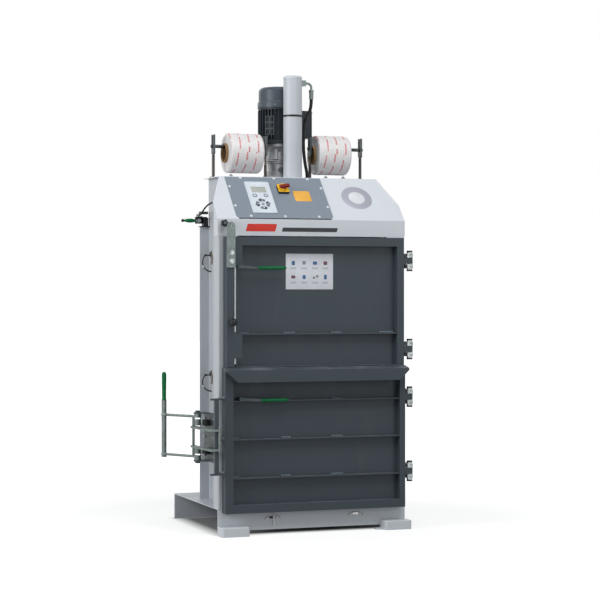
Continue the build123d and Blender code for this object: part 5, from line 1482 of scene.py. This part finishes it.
class BALER_OT_strap_exits(BalerOperator):
    """Add the wire guides over the strap slots in the front beam, and the strap end that hangs from one."""

    bl_idname = "baler.strap_exits"
    bl_label = "Strap exits"

    def execute(self, context):
        begin()
        bpy.ops.mesh.primitive_torus_add(
            major_segments=48, minor_segments=10, major_radius=0.048, minor_radius=0.0019
        )
        wire = context.object
        cut_off((0, 4, 0), (0, 1, 0))
        bpy.ops.transform.resize(value=(1, 0.56, 1), center_override=(0, 0, 0))
        bpy.ops.object.mode_set(mode="OBJECT")
        lean = Matrix.Rotation(math.radians(16), 4, "X")
        places = [facing("front", x, -1.2, 84) @ lean for x in (-253, 271)]
        spread(wire, "strap_exit_wires", "brass", places)

        rows, length = 12, 74
        tail = grid(2, rows, 14, length)
        for row in range(rows):
            edit_faces(lambda middle, normal: middle.y > (row * 6.2 - length / 2) / 1000)
            bpy.ops.transform.rotate(value=math.radians(4), orient_axis="Y", center_override=(0, 0, 0))
        bpy.ops.object.mode_set(mode="OBJECT")
        thick = tail.modifiers.new("thickness", "SOLIDIFY")
        thick.thickness = 0.0008
        bpy.ops.object.modifier_apply(modifier=thick.name)
        settle(tail, "strap_end", "strap_cloth", facing("front", -246, -8, 82), angle=60)
        settle(slab(16, 7, 3, 1), "strap_stub", "strap_cloth", facing("front", 271, -0.2, 92))
        return {"FINISHED"}


class BALER_OT_guide_highlight_bands(BalerOperator):
    """Add bright zinc bands on the strap guides' black rods, a painted highlight where the rods catch the
    light, and the guides' pivot nuts.
    """

    bl_idname = "baler.guide_bands"
    bl_label = "Strap guide bands"

    def execute(self, context):
        # The bright band is a painted highlight on the black rod, not a separate fitting.
        band = turned([(3.8, -7), (5.6, -7), (5.6, 7), (3.8, 7)], 24)
        turn = math.radians(206)
        along = Matrix.Rotation(-turn, 4, "Y")
        x, drop = -470 + 57 * math.cos(turn), 57 * math.sin(turn)
        places = [facing("up", x, 508, z + drop) @ along for z in (1600, 872)]
        spread(band, "strap_guide_highlight_bands", "bright_zinc", places)
        places = [facing("left", -475, 504, z) for z in (1654, 926)]
        spread(hex_bolt(13, 7, 11), "strap_guide_nuts", "zinc", places)
        return {"FINISHED"}


class BALER_OT_side_lever_fittings(BalerOperator):
    """Add the cable clamp and its screws, the pivot nut of the side lever and the lid of its block."""

    bl_idname = "baler.side_lever_fittings"
    bl_label = "Side lever fittings"

    def execute(self, context):
        pivot = facing("front", -535, 551, SIDE_LEVER[1])
        settle(hex_bolt(13, 6, 10), "lever_pivot_nut", "bright_zinc", pivot, "side_lever")
        plate = rounded_plate(34, 16, 3, 3, 0.6)
        settle(plate, "cable_clamp", "zinc", facing("up", -541, 520, 1876.2))
        places = [facing("up", x, 520, 1879) for x in (-553, -529)]
        spread(hex_bolt(7, 4), "cable_clamp_screws", "steel", places)
        settle(slab(50, 40, 16, 2), "lever_block_lid", "dark_zinc", facing("up", -508, 552, 1893))
        return {"FINISHED"}


OPERATORS = (
    BALER_OT_stage,
    BALER_OT_pressure_hose,
    BALER_OT_lever_cable,
    BALER_OT_frame_finish,
    BALER_OT_panel_screws,
    BALER_OT_keypad,
    BALER_OT_main_switch,
    BALER_OT_plain_fields,
    BALER_OT_sheet,
    BALER_OT_grips,
    BALER_OT_knobs,
    BALER_OT_bolts,
    BALER_OT_strap_rolls,
    BALER_OT_motor_fittings,
    BALER_OT_welds,
    BALER_OT_rear_fittings,
    BALER_OT_hinge_fittings,
    BALER_OT_latch_fittings,
    BALER_OT_strap_exits,
    BALER_OT_guide_highlight_bands,
    BALER_OT_side_lever_fittings,
)


class BALER_PT_panel(bpy.types.Panel):
    """Lists the baler's settings and operators."""

    bl_label = "Baler"
    bl_idname = "BALER_PT_panel"
    bl_space_type = "VIEW_3D"
    bl_region_type = "UI"
    bl_category = "Baler"

    def draw(self, context):
        for group in (context.scene.baler_sizes, context.scene.baler_finishes):
            column = self.layout.column(align=True)
            for key in group.bl_rna.properties.keys():
                if key not in ("rna_type", "name"):
                    column.prop(group, key)
        for operator in OPERATORS:
            self.layout.operator(operator.bl_idname)


CLASSES = (BalerFinishes, BalerSizes, *OPERATORS, BALER_PT_panel)


def register():
    """Registers the settings, the operators and the panel."""
    for item in CLASSES:
        bpy.utils.register_class(item)
    bpy.types.Scene.baler_finishes = bpy.props.PointerProperty(type=BalerFinishes)
    bpy.types.Scene.baler_sizes = bpy.props.PointerProperty(type=BalerSizes)


def unregister():
    """Removes them again."""
    del bpy.types.Scene.baler_sizes
    del bpy.types.Scene.baler_finishes
    for item in reversed(CLASSES):
        bpy.utils.unregister_class(item)


def main():
    """Registers the add-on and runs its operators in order."""
    register()
    for operator in OPERATORS:
        group, name = operator.bl_idname.split(".")
        getattr(getattr(bpy.ops, group), name)()


if __name__ == "__main__":
    main()
